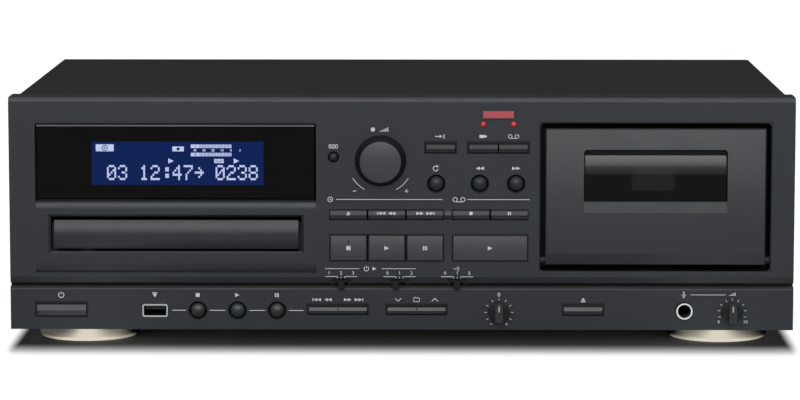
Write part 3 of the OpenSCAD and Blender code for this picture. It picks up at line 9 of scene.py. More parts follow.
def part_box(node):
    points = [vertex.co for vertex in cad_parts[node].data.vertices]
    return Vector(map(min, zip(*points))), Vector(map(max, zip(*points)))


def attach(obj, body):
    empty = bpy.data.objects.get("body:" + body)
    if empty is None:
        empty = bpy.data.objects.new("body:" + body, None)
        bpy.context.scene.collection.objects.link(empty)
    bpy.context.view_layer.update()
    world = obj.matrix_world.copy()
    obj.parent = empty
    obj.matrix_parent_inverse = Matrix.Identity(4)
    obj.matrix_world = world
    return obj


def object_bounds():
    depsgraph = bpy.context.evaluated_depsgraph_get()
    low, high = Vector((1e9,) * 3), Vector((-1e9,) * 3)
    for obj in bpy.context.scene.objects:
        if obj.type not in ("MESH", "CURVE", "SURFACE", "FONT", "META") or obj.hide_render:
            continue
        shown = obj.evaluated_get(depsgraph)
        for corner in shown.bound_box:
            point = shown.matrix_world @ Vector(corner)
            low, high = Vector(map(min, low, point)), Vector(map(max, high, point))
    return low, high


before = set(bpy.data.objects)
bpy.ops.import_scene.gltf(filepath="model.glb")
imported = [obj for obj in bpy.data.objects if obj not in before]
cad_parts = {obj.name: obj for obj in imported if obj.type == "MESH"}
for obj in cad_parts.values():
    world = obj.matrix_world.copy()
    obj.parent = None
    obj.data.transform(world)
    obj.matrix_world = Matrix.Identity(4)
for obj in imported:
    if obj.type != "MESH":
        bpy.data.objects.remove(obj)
cad_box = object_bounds()

# Places on the deck, in millimetres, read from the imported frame
MM = 0.001
PANEL_LOW, PANEL_HIGH = (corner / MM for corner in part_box("front_panel"))
FACE_Y = PANEL_LOW.y
BASE_Z = PANEL_LOW.z
SIDES = (-1, 1)


def corners(node):
    """Lowest and highest corner of a frame node, in millimetres."""
    low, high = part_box(node)
    return low / MM, high / MM


def middle(node):
    """Middle of a frame node's box, in millimetres."""
    low, high = corners(node)
    return (low + high) / 2


def up(height):
    """Height above the panel's lower edge."""
    return BASE_Z + height


def about(place, half):
    """Limits at the same distance on both sides of a place."""
    return (place - half, place + half)


def paint(red, green, blue):
    """A screen colour, 0 to 255, as a linear colour."""
    def linear(level):
        part = level / 255
        return part / 12.92 if part <= 0.04045 else ((part + 0.055) / 1.055) ** 2.4
    return (linear(red), linear(green), linear(blue), 1.0)


# Shader nodes

BLACK = (0.0, 0.0, 0.0, 1.0)
WHITE = (1.0, 1.0, 1.0, 1.0)
GREY = (0.2, 0.2, 0.2, 1.0)
ORIGIN = (0.0, 0.0, 0.0)
ACROSS_Y = (1.0, 0.0, 1.0)
ACROSS_Z = (1.0, 1.0, 0.0)


def join(tree, inputs, sockets):
    """Links each value that is a socket to the input of its name, and sets any other value there."""
    for key, value in sockets.items():
        if isinstance(value, bpy.types.NodeSocket):
            tree.links.new(value, inputs[key])
        else:
            inputs[key].default_value = value


def node(tree, kind, sockets=None, **settings):
    """Adds a shader node with its settings and sockets."""
    made = tree.nodes.new("ShaderNode" + kind)
    for key, value in settings.items():
        setattr(made, key, value)
    join(tree, made.inputs, sockets or {})
    return made


def math_node(tree, operation, a, b=0.0, c=0.0, clamp=False):
    return node(tree, "Math", {0: a, 1: b, 2: c}, operation=operation, use_clamp=clamp).outputs[0]


def product(tree, a, b, clamp=False):
    return math_node(tree, "MULTIPLY", a, b, clamp=clamp)


def times_plus(tree, value, times, plus):
    return math_node(tree, "MULTIPLY_ADD", value, times, plus)


def vector_math(tree, operation, a, b=ORIGIN):
    return node(tree, "VectorMath", {0: a, 1: b}, operation=operation).outputs[0]


def scaled(tree, vector, factor):
    return node(tree, "VectorMath", {0: vector, "Scale": factor}, operation="SCALE").outputs[0]


def length(tree, vector):
    return node(tree, "VectorMath", {0: vector}, operation="LENGTH").outputs["Value"]


def parts(tree, vector):
    return node(tree, "SeparateXYZ", {0: vector}).outputs


def mix_colour(tree, factor, a, b):
    return node(tree, "Mix", {0: factor, 6: a, 7: b}, data_type="RGBA").outputs[2]


def mix_value(tree, factor, a, b):
    return node(tree, "Mix", {0: factor, 2: a, 3: b}, data_type="FLOAT").outputs[0]


def ramp(tree, value, start, end, first=0.0, last=1.0, kind="LINEAR"):
    """Runs from first to last while a value runs from start to end, and stays level outside."""
    sockets = {"Value": value, "From Min": start, "From Max": end, "To Min": first, "To Max": last}
    return node(tree, "MapRange", sockets, interpolation_type=kind).outputs[0]


def bump(tree, height, distance):
    return node(tree, "Bump", {"Strength": 1.0, "Distance": distance, "Height": height}).outputs[0]


def object_point(tree):
    return node(tree, "TexCoord").outputs["Object"]


def off_axis(tree, point, centre, plane):
    """Distance from an axis through a centre. Plane keeps the coordinates across the axis."""
    return length(tree, vector_math(tree, "MULTIPLY", vector_math(tree, "SUBTRACT", point, centre), plane))


def noise(tree, point, scale, detail=3.0, roughness=0.55, distortion=0.0):
    sockets = {"Vector": point, "Scale": scale, "Detail": detail, "Roughness": roughness,
               "Distortion": distortion}
    return node(tree, "TexNoise", sockets).outputs[0]


# Node groups

SOCKET_KINDS = {1: "NodeSocketFloat", 3: "NodeSocketVector", 4: "NodeSocketColor"}
OUTPUT_WIDTHS = {"Colour": 4, "Normal": 3}


def node_group(**inputs):
    """Turns a function that fills a node group and returns its outputs into that group."""
    def make(fill):
        group = bpy.data.node_groups.new(fill.__name__, "ShaderNodeTree")
        for label, value in inputs.items():
            kind = SOCKET_KINDS[len(value) if isinstance(value, tuple) else 1]
            socket = group.interface.new_socket(name=label, in_out="INPUT", socket_type=kind)
            socket.default_value = value
        outputs = fill(group, group.nodes.new("NodeGroupInput").outputs)
        for label in outputs:
            kind = SOCKET_KINDS[OUTPUT_WIDTHS.get(label, 1)]
            group.interface.new_socket(name=label, in_out="OUTPUT", socket_type=kind)
        join(group, group.nodes.new("NodeGroupOutput").inputs, outputs)
        return group
    return make


@node_group(Colour=GREY, Roughness=0.5, Grain=2600.0, Height=0.00002, Cloud=0.08)
def moulded_grain(group, entry):
    """Spark-eroded grain of moulded plastic or textured paint, with faint clouds and handling marks."""
    point = object_point(group)
    fine = noise(group, point, entry["Grain"], 2.0)
    cloud = times_plus(group, noise(group, point, 11.0, 4.0), 2.0, -1.0)
    marks = noise(group, point, 38.0, 6.0, 0.7, 0.8)
    shade = times_plus(group, cloud, entry["Cloud"], 1.0)
    speck = times_plus(group, fine, 0.24, 0.88)
    worn = times_plus(group, marks, 0.22, -0.11)
    return {"Colour": scaled(group, entry["Colour"], product(group, shade, speck)),
            "Roughness": math_node(group, "ADD", entry["Roughness"], worn, clamp=True),
            "Normal": bump(group, fine, entry["Height"])}


@node_group(Colour=GREY, Roughness=0.35, Stretch=(4.0, 900.0, 900.0), Height=0.000004)
def drawn_lines(group, entry):
    """Fine lines of rolled, brushed or turned metal. Stretch says how fast they change along each axis."""
    point = object_point(group)
    lines = noise(group, vector_math(group, "MULTIPLY", point, entry["Stretch"]), 1.0, 4.0, 0.65)
    cloud = noise(group, point, 24.0, 4.0)
    shade = product(group, times_plus(group, lines, 0.3, 0.85), times_plus(group, cloud, 0.16, 0.92))
    swing = times_plus(group, lines, 0.24, -0.12)
    return {"Colour": scaled(group, entry["Colour"], shade),
            "Roughness": math_node(group, "ADD", entry["Roughness"], swing, clamp=True),
            "Normal": bump(group, lines, entry["Height"])}


@node_group(Centre=ORIGIN, Rings=3000.0)
def turned_rings(group, entry):
    """Rings left by turning around an axis along Y."""
    radius = off_axis(group, object_point(group), entry["Centre"], ACROSS_Y)
    sockets = {"W": product(group, radius, entry["Rings"]), "Scale": 1.0, "Detail": 2.0}
    return {"Rings": node(group, "TexNoise", sockets, noise_dimensions="1D").outputs[0]}


@node_group(Low=ORIGIN, High=ORIGIN)
def within_box(group, entry):
    """1 inside a box given by two corners, 0 outside."""
    point = object_point(group)
    inside = vector_math(group, "MINIMUM", vector_math(group, "SUBTRACT", point, entry["Low"]),
                         vector_math(group, "SUBTRACT", entry["High"], point))
    x, y, z = parts(group, inside)
    least = math_node(group, "MINIMUM", math_node(group, "MINIMUM", x, y), z)
    return {"Mask": math_node(group, "GREATER_THAN", least, 0.0)}


@node_group(Centre=ORIGIN, Plane=ACROSS_Y, Inner=0.0, Outer=0.01)
def within_ring(group, entry):
    """1 between two radii around an axis through Centre, 0 outside. Plane keeps what lies across it."""
    radius = off_axis(group, object_point(group), entry["Centre"], entry["Plane"])
    beyond = math_node(group, "GREATER_THAN", radius, entry["Inner"])
    short = math_node(group, "LESS_THAN", radius, entry["Outer"])
    return {"Mask": product(group, beyond, short)}


@node_group(Colour=GREY, Roughness=0.5, Amount=0.05)
def settled_dust(group, entry):
    """A trace of dust on faces that look up."""
    upward = parts(group, node(group, "NewGeometry").outputs["Normal"])[2]
    patch = noise(group, object_point(group), 60.0, 7.0, 0.72)
    mask = product(group, product(group, upward, patch, clamp=True), entry["Amount"])
    return {"Colour": mix_colour(group, mask, entry["Colour"], paint(150, 147, 140)),
            "Roughness": mix_value(group, mask, entry["Roughness"], 0.95)}


@node_group(Normal=(0.0, 0.0, 1.0), Low=0.0, High=0.01, First=0.0, Last=0.0)
def crowned_face(group, entry):
    """The soft crown of a moulded face: its normals lean more and more upwards between two heights."""
    height = parts(group, object_point(group))[2]
    lean = ramp(group, height, entry["Low"], entry["High"], entry["First"], entry["Last"])
    upwards = node(group, "VectorTransform", {0: node(group, "CombineXYZ", {2: lean}).outputs[0]},
                   vector_type="VECTOR", convert_from="OBJECT", convert_to="WORLD").outputs[0]
    return {"Normal": vector_math(group, "NORMALIZE", vector_math(group, "ADD", entry["Normal"], upwards))}


def placed(tree, group, **sockets):
    """Puts a node group into a material and returns its outputs."""
    return node(tree, "Group", sockets, node_tree=group).outputs


# Masks, made in each material that needs them

FAR = 1000.0
NO_LIMIT = (-FAR, FAR)


def within(x=NO_LIMIT, y=NO_LIMIT, z=NO_LIMIT):
    """Mask maker of a box between limits in millimetres."""
    low, high = (Vector(corner) * MM for corner in zip(x, y, z))
    return lambda tree: placed(tree, within_box, Low=low, High=high)["Mask"]


def around(centre, outer, inner=-1.0, plane=ACROSS_Y):
    """Mask maker between two radii in millimetres, around an axis along Y or along what plane leaves out."""
    sockets = {"Centre": Vector(centre) * MM, "Plane": plane, "Inner": inner * MM, "Outer": outer * MM}
    return lambda tree: placed(tree, within_ring, **sockets)["Mask"]


def joined(masks):
    """Mask maker of several masks together."""
    def total(tree):
        level = 0.0
        for mask in masks:
            level = math_node(tree, "ADD", mask(tree), level)
        return level
    return total


# Materials

def new_material(name, **plain):
    """A material with a Principled shader whose plain values are set on its own sockets."""
    material = bpy.data.materials.new(name)
    material.use_nodes = True
    tree = material.node_tree
    tree.nodes.clear()
    sockets = {key.replace("_", " "): value for key, value in plain.items()}
    shader = node(tree, "BsdfPrincipled", sockets)
    node(tree, "OutputMaterial", {"Surface": shader.outputs[0]})
    return material, tree, shader.inputs


def finish(**plain):
    """Turns a function that fills a material and returns what its shader takes into that material."""
    def make(fill):
        material, tree, shader = new_material(fill.__name__, **plain)
        join(tree, shader, fill(tree))
        return material
    return make


def skin(tree, group, **sockets):
    """The colour, roughness and normal of a node group, named as a shader takes them."""
    made = placed(tree, group, **sockets)
    return {"Base Color": made["Colour"], "Roughness": made["Roughness"], "Normal": made["Normal"]}


def crowned(tree, normal, low, high, first, last):
    """Leans a normal upwards: two heights in millimetres and the lean at each."""
    sockets = {"Normal": normal, "Low": low * MM, "High": high * MM, "First": first, "Last": last}
    return placed(tree, crowned_face, **sockets)["Normal"]


def zone_mix(tree, zones, colour, *values):
    """Lays zones over a finish. Each is a mask maker with a colour and the values that follow it."""
    for make_mask, zone_colour, *zone_values in zones:
        mask = make_mask(tree)
        colour = mix_colour(tree, mask, colour, zone_colour)
        values = [mix_value(tree, mask, *pair) for pair in zip(values, zone_values)]
    return colour, *values


def grained(name, colour, roughness, specular=0.22, grain=2600.0, height=0.00002, dust=0.06, crown=None,
            zones=()):
    """Moulded plastic or textured paint, with a crown, and zones of (mask maker, colour, roughness)."""
    material, tree, shader = new_material(name, Specular_IOR_Level=specular)
    colour, roughness = zone_mix(tree, zones, colour, roughness)
    made = placed(tree, moulded_grain, Colour=colour, Roughness=roughness, Grain=grain, Height=height)
    dusty = placed(tree, settled_dust, Colour=made["Colour"], Roughness=made["Roughness"], Amount=dust)
    normal = crowned(tree, made["Normal"], *crown) if crown else made["Normal"]
    join(tree, shader, {"Base Color": dusty["Colour"], "Roughness": dusty["Roughness"], "Normal": normal})
    return material


def drawn_metal(name, colour, roughness, stretch):
    """Rolled, brushed or turned metal."""
    material, tree, shader = new_material(name, Metallic=1.0)
    join(tree, shader, skin(tree, drawn_lines, Colour=colour, Roughness=roughness, Stretch=stretch))
    return material


def zoned(name, colour, zones, roughness=0.45, metal=0.0):
    """One moulding of several finishes. Each zone is (mask maker, colour, roughness, metallic)."""
    material, tree, shader = new_material(name, Specular_IOR_Level=0.3)
    colour, roughness, metal = zone_mix(tree, zones, colour, roughness, metal)
    made = skin(tree, moulded_grain, Colour=colour, Roughness=roughness, Grain=1800.0, Height=0.000012,
                Cloud=0.1)
    join(tree, shader, {**made, "Metallic": metal})
    return material


# Finishes of the case

@finish(Metallic=1.0)
def zinc_sheet(tree):
    """Zinc-plated steel: a soft crystal pattern under faint rolling lines."""
    crystal = node(tree, "TexVoronoi", {"Vector": object_point(tree), "Scale": 85.0}).outputs["Color"]
    patch = node(tree, "SeparateColor", {0: crystal}).outputs[0]
    lines = skin(tree, drawn_lines, Colour=paint(172, 175, 176), Roughness=0.42, Stretch=(3.0, 500.0, 500.0),
                 Height=0.000003)
    return {"Base Color": scaled(tree, lines["Base Color"], times_plus(tree, patch, 0.18, 0.86)),
            "Roughness": times_plus(tree, patch, 0.1, lines["Roughness"]), "Normal": lines["Normal"]}


FOOT_R = 28.5
RUBBER_R = 19.55
RUBBER_TOP = 2.62


@finish()
def foot_metal(tree):
    """Champagne-coloured turned metal, with a rubber ring let into the underside."""
    lines = skin(tree, drawn_lines, Colour=paint(224, 216, 198), Roughness=0.18, Stretch=(6.0, 6.0, 2600.0),
                 Height=0.000003)
    point = object_point(tree)
    high = corners("feet")[1]
    row = middle("feet").y
    away = Vector((high.x - FOOT_R, high.y - FOOT_R - row, 0)) * MM
    folded = vector_math(tree, "ABSOLUTE", vector_math(tree, "SUBTRACT", point, (0.0, row * MM, 0.0)))
    near = math_node(tree, "LESS_THAN", off_axis(tree, folded, away, ACROSS_Z), RUBBER_R * MM)
    rubber = product(tree, near, math_node(tree, "LESS_THAN", parts(tree, point)[2], RUBBER_TOP * MM))
    return {"Base Color": mix_colour(tree, rubber, lines["Base Color"], paint(30, 30, 31)),
            "Roughness": mix_value(tree, rubber, lines["Roughness"], 0.85),
            "Metallic": mix_value(tree, rubber, 1.0, 0.0), "Normal": lines["Normal"]}


# Finishes of the windows, the display and the lamps

def smoked(name, tint, roughness, ior):
    """Smoked acrylic with the faint haze of wiped dust, and what a finish needs to build on it."""
    material, tree, shader = new_material(name, Base_Color=tint, Transmission_Weight=1.0, IOR=ior,
                                          Coat_IOR=1.58, Coat_Roughness=0.2)
    haze = times_plus(tree, noise(tree, object_point(tree), 70.0, 6.0, 0.7, 1.0), 0.05, roughness)
    tree.links.new(haze, shader["Roughness"])
    return material, tree, shader, haze


def door_glass(top):
    """Smoked acrylic whose polished upper part bends back up to its top edge."""
    bend_start = top - 11.2
    bend = top - 9.5
    material, tree, shader, haze = smoked("door_glass", paint(48, 48, 50), 0.15, 1.26)
    normal = crowned(tree, node(tree, "NewGeometry").outputs["Normal"], bend_start, bend, 0.0, 0.18)
    height = parts(tree, object_point(tree))[2]
    blur = ramp(tree, height, (top - 13.5) * MM, (top - 10.0) * MM, last=0.25)
    join(tree, shader, {"Normal": crowned(tree, normal, bend, top, 0.0, -0.11),
                        "Coat Weight": ramp(tree, height, bend * MM, top * MM, last=0.7),
                        "Roughness": math_node(tree, "ADD", haze, blur)})
    return material


LCD_LOW, LCD_HIGH = corners("lcd_module")
LCD_RIM = Vector((5.0, 0.0, 4.0))
LCD_GLOW = 25.0
CELL_LOW = LCD_LOW + LCD_RIM
CELL_HIGH = LCD_HIGH - LCD_RIM
CELL_SLACK = 0.05
GLASS_FRONT_Y = LCD_LOW.y + 0.4


def backlight(tree, colour, scale):
    """A colour lit a little unevenly from behind."""
    cloud = noise(tree, object_point(tree), scale, 2.0)
    return scaled(tree, colour[:3], times_plus(tree, cloud, 0.3, 0.85))


@finish(Roughness=0.4, Specular_IOR_Level=0.2, Emission_Strength=LCD_GLOW)
def lcd_cell(tree):
    """Backlit blue cell in a black frame."""
    cell = within(x=(CELL_LOW.x - CELL_SLACK, CELL_HIGH.x + CELL_SLACK),
                  z=(CELL_LOW.z - CELL_SLACK, CELL_HIGH.z + CELL_SLACK))(tree)
    glow = backlight(tree, paint(0, 26, 79), 26.0)
    return {"Base Color": mix_colour(tree, cell, paint(12, 12, 13), paint(8, 20, 44)),
            "Emission Color": mix_colour(tree, cell, BLACK, glow)}


@finish(Base_Color=paint(120, 128, 140), Roughness=0.5, Emission_Strength=LCD_GLOW)
def lit_segment(tree):
    """Pale segments of the display."""
    return {"Emission Color": backlight(tree, paint(190, 203, 232), 30.0)}


@finish(Specular_IOR_Level=0.5, Coat_Weight=0.4, Emission_Strength=0.18)
def lamp_lens(tree):
    """Red lens of a lit lamp."""
    cloud = noise(tree, object_point(tree), 900.0, 2.0)
    return {"Base Color": mix_colour(tree, cloud, paint(176, 20, 26), paint(214, 40, 44)),
            "Roughness": times_plus(tree, cloud, 0.1, 0.14),
            "Emission Color": mix_colour(tree, cloud, paint(200, 26, 30), paint(236, 58, 56))}


def printed_ink(name, colour, roughness=0.6):
    """Silk-screened ink, a little uneven."""
    material, tree, shader = new_material(name, Specular_IOR_Level=0.2)
    join(tree, shader, skin(tree, moulded_grain, Colour=colour, Roughness=roughness, Grain=5200.0,
                            Height=0.000004, Cloud=0.1))
    return material


# Finishes of the pieces inside

def waves(tree, scale, axis):
    """Even bands along an axis."""
    sockets = {"Vector": object_point(tree), "Scale": scale}
    return node(tree, "TexWave", sockets, bands_direction=axis).outputs[0]


def board_finish(name, standing):
    """Green solder mask with paler tracks, and dark bodies of the components that stand on it."""
    material, tree, shader = new_material(name, Specular_IOR_Level=0.4)
    point = object_point(tree)
    cells = node(tree, "TexVoronoi", {"Vector": point, "Scale": 190.0}, feature="DISTANCE_TO_EDGE")
    track = math_node(tree, "LESS_THAN", cells.outputs[0], 0.09)
    green = mix_colour(tree, track, paint(22, 74, 40), paint(40, 104, 58))
    dark = mix_colour(tree, noise(tree, point, 300.0, 3.0), paint(28, 28, 30), paint(52, 52, 55))
    bodies = standing(tree)
    join(tree, shader, {"Base Color": mix_colour(tree, bodies, green, dark),
                        "Roughness": mix_value(tree, bodies, 0.3, 0.5)})
    return material


CORE_HALF = 12.05


@finish(Specular_IOR_Level=0.3)
def transformer_finish(tree):
    """Stacked iron sheets around a taped coil."""
    core = within(y=about(middle("power_transformer").y, CORE_HALF))(tree)
    sheets = waves(tree, 310.0, "Y")
    iron = mix_colour(tree, sheets, paint(44, 42, 40), paint(96, 92, 88))
    fibres = noise(tree, object_point(tree), 220.0, 4.0)
    tape = mix_colour(tree, fibres, paint(150, 112, 38), paint(196, 152, 62))
    return {"Base Color": mix_colour(tree, core, tape, iron), "Roughness": mix_value(tree, core, 0.35, 0.55),
            "Metallic": product(tree, core, 0.7), "Normal": bump(tree, sheets, 0.00003)}


PANE_HALF_W = 11.8
PANE_HALF_H = 6.25
PANE_UP = 0.2
MOTOR_DEPTH = 23.8


@finish(Specular_IOR_Level=0.3, Emission_Strength=0.44)
def deck_plate(tree):
    """Black moulded well with a steel motor, and a dim, ribbed pane behind the cassette's window that glows
    with painted light, though no lamp stands behind it.
    """
    lit = within(x=about(middle("cassette_door").x, PANE_HALF_W),
                 z=about(middle("supply_reel").z + PANE_UP, PANE_HALF_H))(tree)
    steel = within(y=(corners("tape_deck_frame")[1].y - MOTOR_DEPTH, FAR))(tree)
    ribs = waves(tree, 200.0, "X")
    pane_colour = mix_colour(tree, ribs, paint(44, 47, 45), paint(96, 100, 95))
    # Painted light: the pane emits a dim glow of its own.
    painted_pane_glow = mix_colour(tree, ribs, paint(166, 176, 164), paint(238, 246, 234))
    well = mix_colour(tree, lit, paint(34, 35, 37), pane_colour)
    plain = skin(tree, moulded_grain, Colour=mix_colour(tree, steel, well, paint(150, 152, 154)))
    return {**plain, "Metallic": steel, "Emission Color": mix_colour(tree, lit, BLACK, painted_pane_glow)}


KNOB_DOME = 1.43


@finish(Specular_IOR_Level=0.3)
def knob_cap(tree):
    """Knob with a spun face and a darker side."""
    face = within(y=(-FAR, corners("rec_level_knob")[0].y + KNOB_DOME))(tree)
    rings = placed(tree, turned_rings, Centre=middle("rec_level_knob") * MM, Rings=5200.0)["Rings"]
    plain = skin(tree, moulded_grain, Colour=mix_colour(tree, face, paint(13, 15, 18), paint(62, 65, 69)),
                 Roughness=mix_value(tree, face, 0.42, times_plus(tree, rings, 0.2, 0.34)))
    spun = node(tree, "Bump", {"Strength": product(tree, face, 0.6), "Distance": 0.000006, "Height": rings,
                               "Normal": plain["Normal"]})
    return {**plain, "Metallic": product(tree, face, 0.25), "Normal": spun.outputs[0]}


# Marks, drawn flat in millimetres with x to the right and z up

LINE_W = 0.42
THIN_W = 0.34
TICK_W = 0.32
FACE_TURN = Matrix.Rotation(math.radians(90), 4, "X")


def upright(x, z):
    """Stands a flat mark up to face the front."""
    return Matrix.Translation((x, 0, z)) @ FACE_TURN


def add_object(name, data):
    """An object of the scene for a mesh, curve, lamp or camera."""
    made = bpy.data.objects.new(name, data)
    bpy.context.scene.collection.objects.link(made)
    return made


def plate(bm, x, z, w, h, turn=0.0):
    """A filled rectangle around a point."""
    spot = upright(x, z) @ Matrix.Rotation(turn, 4, "Z") @ Matrix.Diagonal((w, h, 1, 1))
    bmesh.ops.create_grid(bm, x_segments=1, y_segments=1, size=0.5, matrix=spot)


def stroke(bm, x0, z0, x1, z1, w):
    """A straight line of width w."""
    plate(bm, (x0 + x1) / 2, (z0 + z1) / 2, math.hypot(x1 - x0, z1 - z0), w, math.atan2(z1 - z0, x1 - x0))


def disc(bm, x, z, r):
    """A filled circle."""
    bmesh.ops.create_circle(bm, cap_ends=True, segments=28, radius=r, matrix=upright(x, z))


def arc(bm, x, z, r, w, start, sweep):
    """A curved line of width w; angles in degrees, anticlockwise from the right."""
    a = math.radians(start)
    ends = [bm.verts.new((x + k * math.cos(a), 0, z + k * math.sin(a))) for k in (r - w / 2, r + w / 2)]
    edge = bm.edges.new(ends)
    bmesh.ops.spin(bm, geom=[*ends, edge], cent=(x, 0, z), axis=(0, -1, 0), angle=math.radians(sweep),
                   steps=max(4, round(abs(sweep) / 10)), use_merge=abs(sweep) >= 360)


def arrow(bm, x, z, w, h, turn=0.0):
    """A filled triangle that points right, w long and h high, turned anticlockwise by degrees."""
    tip = Matrix.Diagonal((h / math.sqrt(3), w / 1.5, 1, 1)) @ Matrix.Translation((0, -0.25, 0))
    spot = upright(x, z) @ Matrix.Rotation(math.radians(turn - 90), 4, "Z") @ tip
    bmesh.ops.create_circle(bm, cap_ends=True, segments=3, radius=1.0, matrix=spot)


def numeral(bm, x, z, digits, height):
    """Plain figures around a point."""
    curve = bpy.data.curves.new("figures", "FONT")
    curve.body = digits
    curve.size = height / 0.7
    curve.offset = height * 0.03
    curve.align_x = "CENTER"
    curve.align_y = "CENTER"
    curve.resolution_u = 3
    holder = add_object("figures", curve)
    bpy.context.view_layer.update()
    flat = bpy.data.meshes.new_from_object(holder.evaluated_get(bpy.context.evaluated_depsgraph_get()))
    flat.transform(upright(x, z))
    bm.from_mesh(flat)
    bpy.data.objects.remove(holder)
    bpy.data.curves.remove(curve)
    bpy.data.meshes.remove(flat)


def sign(*shapes):
    """Makes a drawing function of shapes: each has place and lengths in shares of a size, then angles."""
    def draw(bm, x, z, size):
        for shape, (across, above, *lengths), *angles in shapes:
            shape(bm, x + across * size, z + above * size, *(share * size for share in lengths), *angles)
    return draw


stop_sign = sign((plate, (0, 0, 1, 1)))
play_sign = sign((arrow, (0, 0, 1.1, 1)))
pause_sign = sign(*((plate, (side * 0.3, 0, 0.36, 1)) for side in SIDES))
eject_sign = sign((arrow, (0, 0.2, 0.62, 1), 90), (plate, (0, -0.38, 1, 0.24)))
minus_sign = sign((plate, (0, 0, 1, 0.24)))
plus_sign = sign((plate, (0, 0, 1, 0.24)), (plate, (0, 0, 0.24, 1)))
power_sign = sign((arc, (0, 0, 0.5, 0.16), 125, 290), (plate, (0, 0.325, 0.16, 0.55)))
disc_sign = sign((arc, (0, 0, 0.44, 0.13), 0, 360), (disc, (0, 0, 0.14)))
# Two reels with the tape between them
tape_sign = sign(*((arc, (side * 0.75, 0, 0.4, 0.15), 0, 360) for side in SIDES),
                 (plate, (0, -0.44, 1.5, 0.15)))
# A memory stick with its plug
stick_sign = sign((plate, (-0.35, 0, 1.3, 0.8)), (plate, (0.6, 0, 0.5, 0.5)))
# An arrow that runs up to a bar
input_sign = sign((plate, (-0.7, 0, 1.2, 0.2)), (arrow, (0.1, 0, 0.7, 0.8)), (plate, (0.8, 0, 0.2, 1)))
# A line that runs round to its own start
loop_sign = sign((arc, (0, 0, 0.5, 0.17), 60, 290), (arrow, (0.42, 0.4, 0.5, 0.6), -20))
# Bars that grow to the right
level_sign = sign(*((plate, (0.42 * (i - 2), 0.1 * i - 0.4, 0.24, 0.2 * i + 0.2)) for i in range(5)))
# Curved waves that spread to the right
echo_sign = sign((disc, (-1, 0, 0.2)), *((arc, (-1, 0, k, 0.17), -32, 64) for k in (0.7, 1.25, 1.8)))
microphone_sign = sign((plate, (0, 0.22, 0.34, 0.5)), (disc, (0, 0.47, 0.17)), (disc, (0, -0.03, 0.17)),
                       (arc, (0, 0.02, 0.34, 0.11), 180, 180), (plate, (0, -0.44, 0.11, 0.24)),
                       (plate, (0, -0.56, 0.44, 0.11)))
# Outline of a folder with its tab
folder_sign = sign(*((plate, (side * 0.75, 0, 0.15, 1)) for side in SIDES),
                   *((plate, (0, side * 0.5, 1.5, 0.15)) for side in SIDES),
                   (plate, (-0.375, 0.6, 0.6, 0.2)))


def wind_sign(bm, x, z, size, way):
    """Two arrows, one behind the other."""
    for step in (-0.5, 0.5):
        arrow(bm, x + step * size * 1.15, z, size * 1.15, size, 0 if way > 0 else 180)


def skip_sign(bm, x, z, size, way):
    """Two arrows up to a bar, then two arrows, as on a key that skips and searches."""
    wind_sign(bm, x + way * size * 1.6, z, size, way)
    plate(bm, x + way * size * 2.9, z, size * 0.24, size)
    wind_sign(bm, x - way * size * 1.6, z, size, way)


def chevron(bm, x, z, size, way):
    for side in SIDES:
        stroke(bm, x, z + way * size * 0.3, x + side * size * 0.6, z - way * size * 0.3, LINE_W)


def ticks(bm, x, z, inner, outer, angles):
    """Short rays around a knob; angles in degrees from the top, clockwise."""
    for angle in angles:
        a = math.radians(90 - angle)
        stroke(bm, x + inner * math.cos(a), z + inner * math.sin(a), x + outer * math.cos(a),
               z + outer * math.sin(a), TICK_W)


# Pieces

MARK_T = 0.05
MARK_SUNK = 0.01


def drawing(*marks):
    """A new flat mesh of marks, each given as its drawing function and what that takes."""
    bm = bmesh.new()
    for draw, *values in marks:
        draw(bm, *values)
    return bm


def mesh_object(name, bm, material):
    """Makes a mesh an object of the scene."""
    mesh = bpy.data.meshes.new(name)
    bm.to_mesh(mesh)
    bm.free()
    mesh.materials.append(material)
    return add_object(name, mesh)


def piece(name, bm, body, material):
    """Makes a mesh in millimetres an object of the deck that rides on a body."""
    bmesh.ops.scale(bm, vec=(MM, MM, MM), verts=bm.verts[:])
    made = mesh_object(name, bm, material)
    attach(made, body)


def printed(name, bm, body, material, spot, lean=0.0):
    """Thin marks on a face that leans back by degrees; spot is where their drawing's origin goes."""
    grown = bmesh.ops.extrude_face_region(bm, geom=bm.faces[:])["geom"]
    front = [v for v in grown if isinstance(v, bmesh.types.BMVert)]
    bmesh.ops.translate(bm, vec=(0, -MARK_T, 0), verts=front)
    bmesh.ops.translate(bm, vec=(0, MARK_SUNK, 0), verts=bm.verts[:])
    bmesh.ops.recalc_face_normals(bm, faces=bm.faces[:])
    stand = Matrix.Translation(spot) @ Matrix.Rotation(math.radians(-lean), 4, "X")
    bmesh.ops.transform(bm, matrix=stand, verts=bm.verts[:])
    piece(name, bm, body, material)


def dress(material, *names):
    """Gives frame nodes a finish."""
    for name in names:
        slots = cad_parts[name].material_slots
        for slot in slots:
            slot.material = material
        if not slots:
            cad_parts[name].data.materials.append(material)


# Finishes of the case, the display and the boards

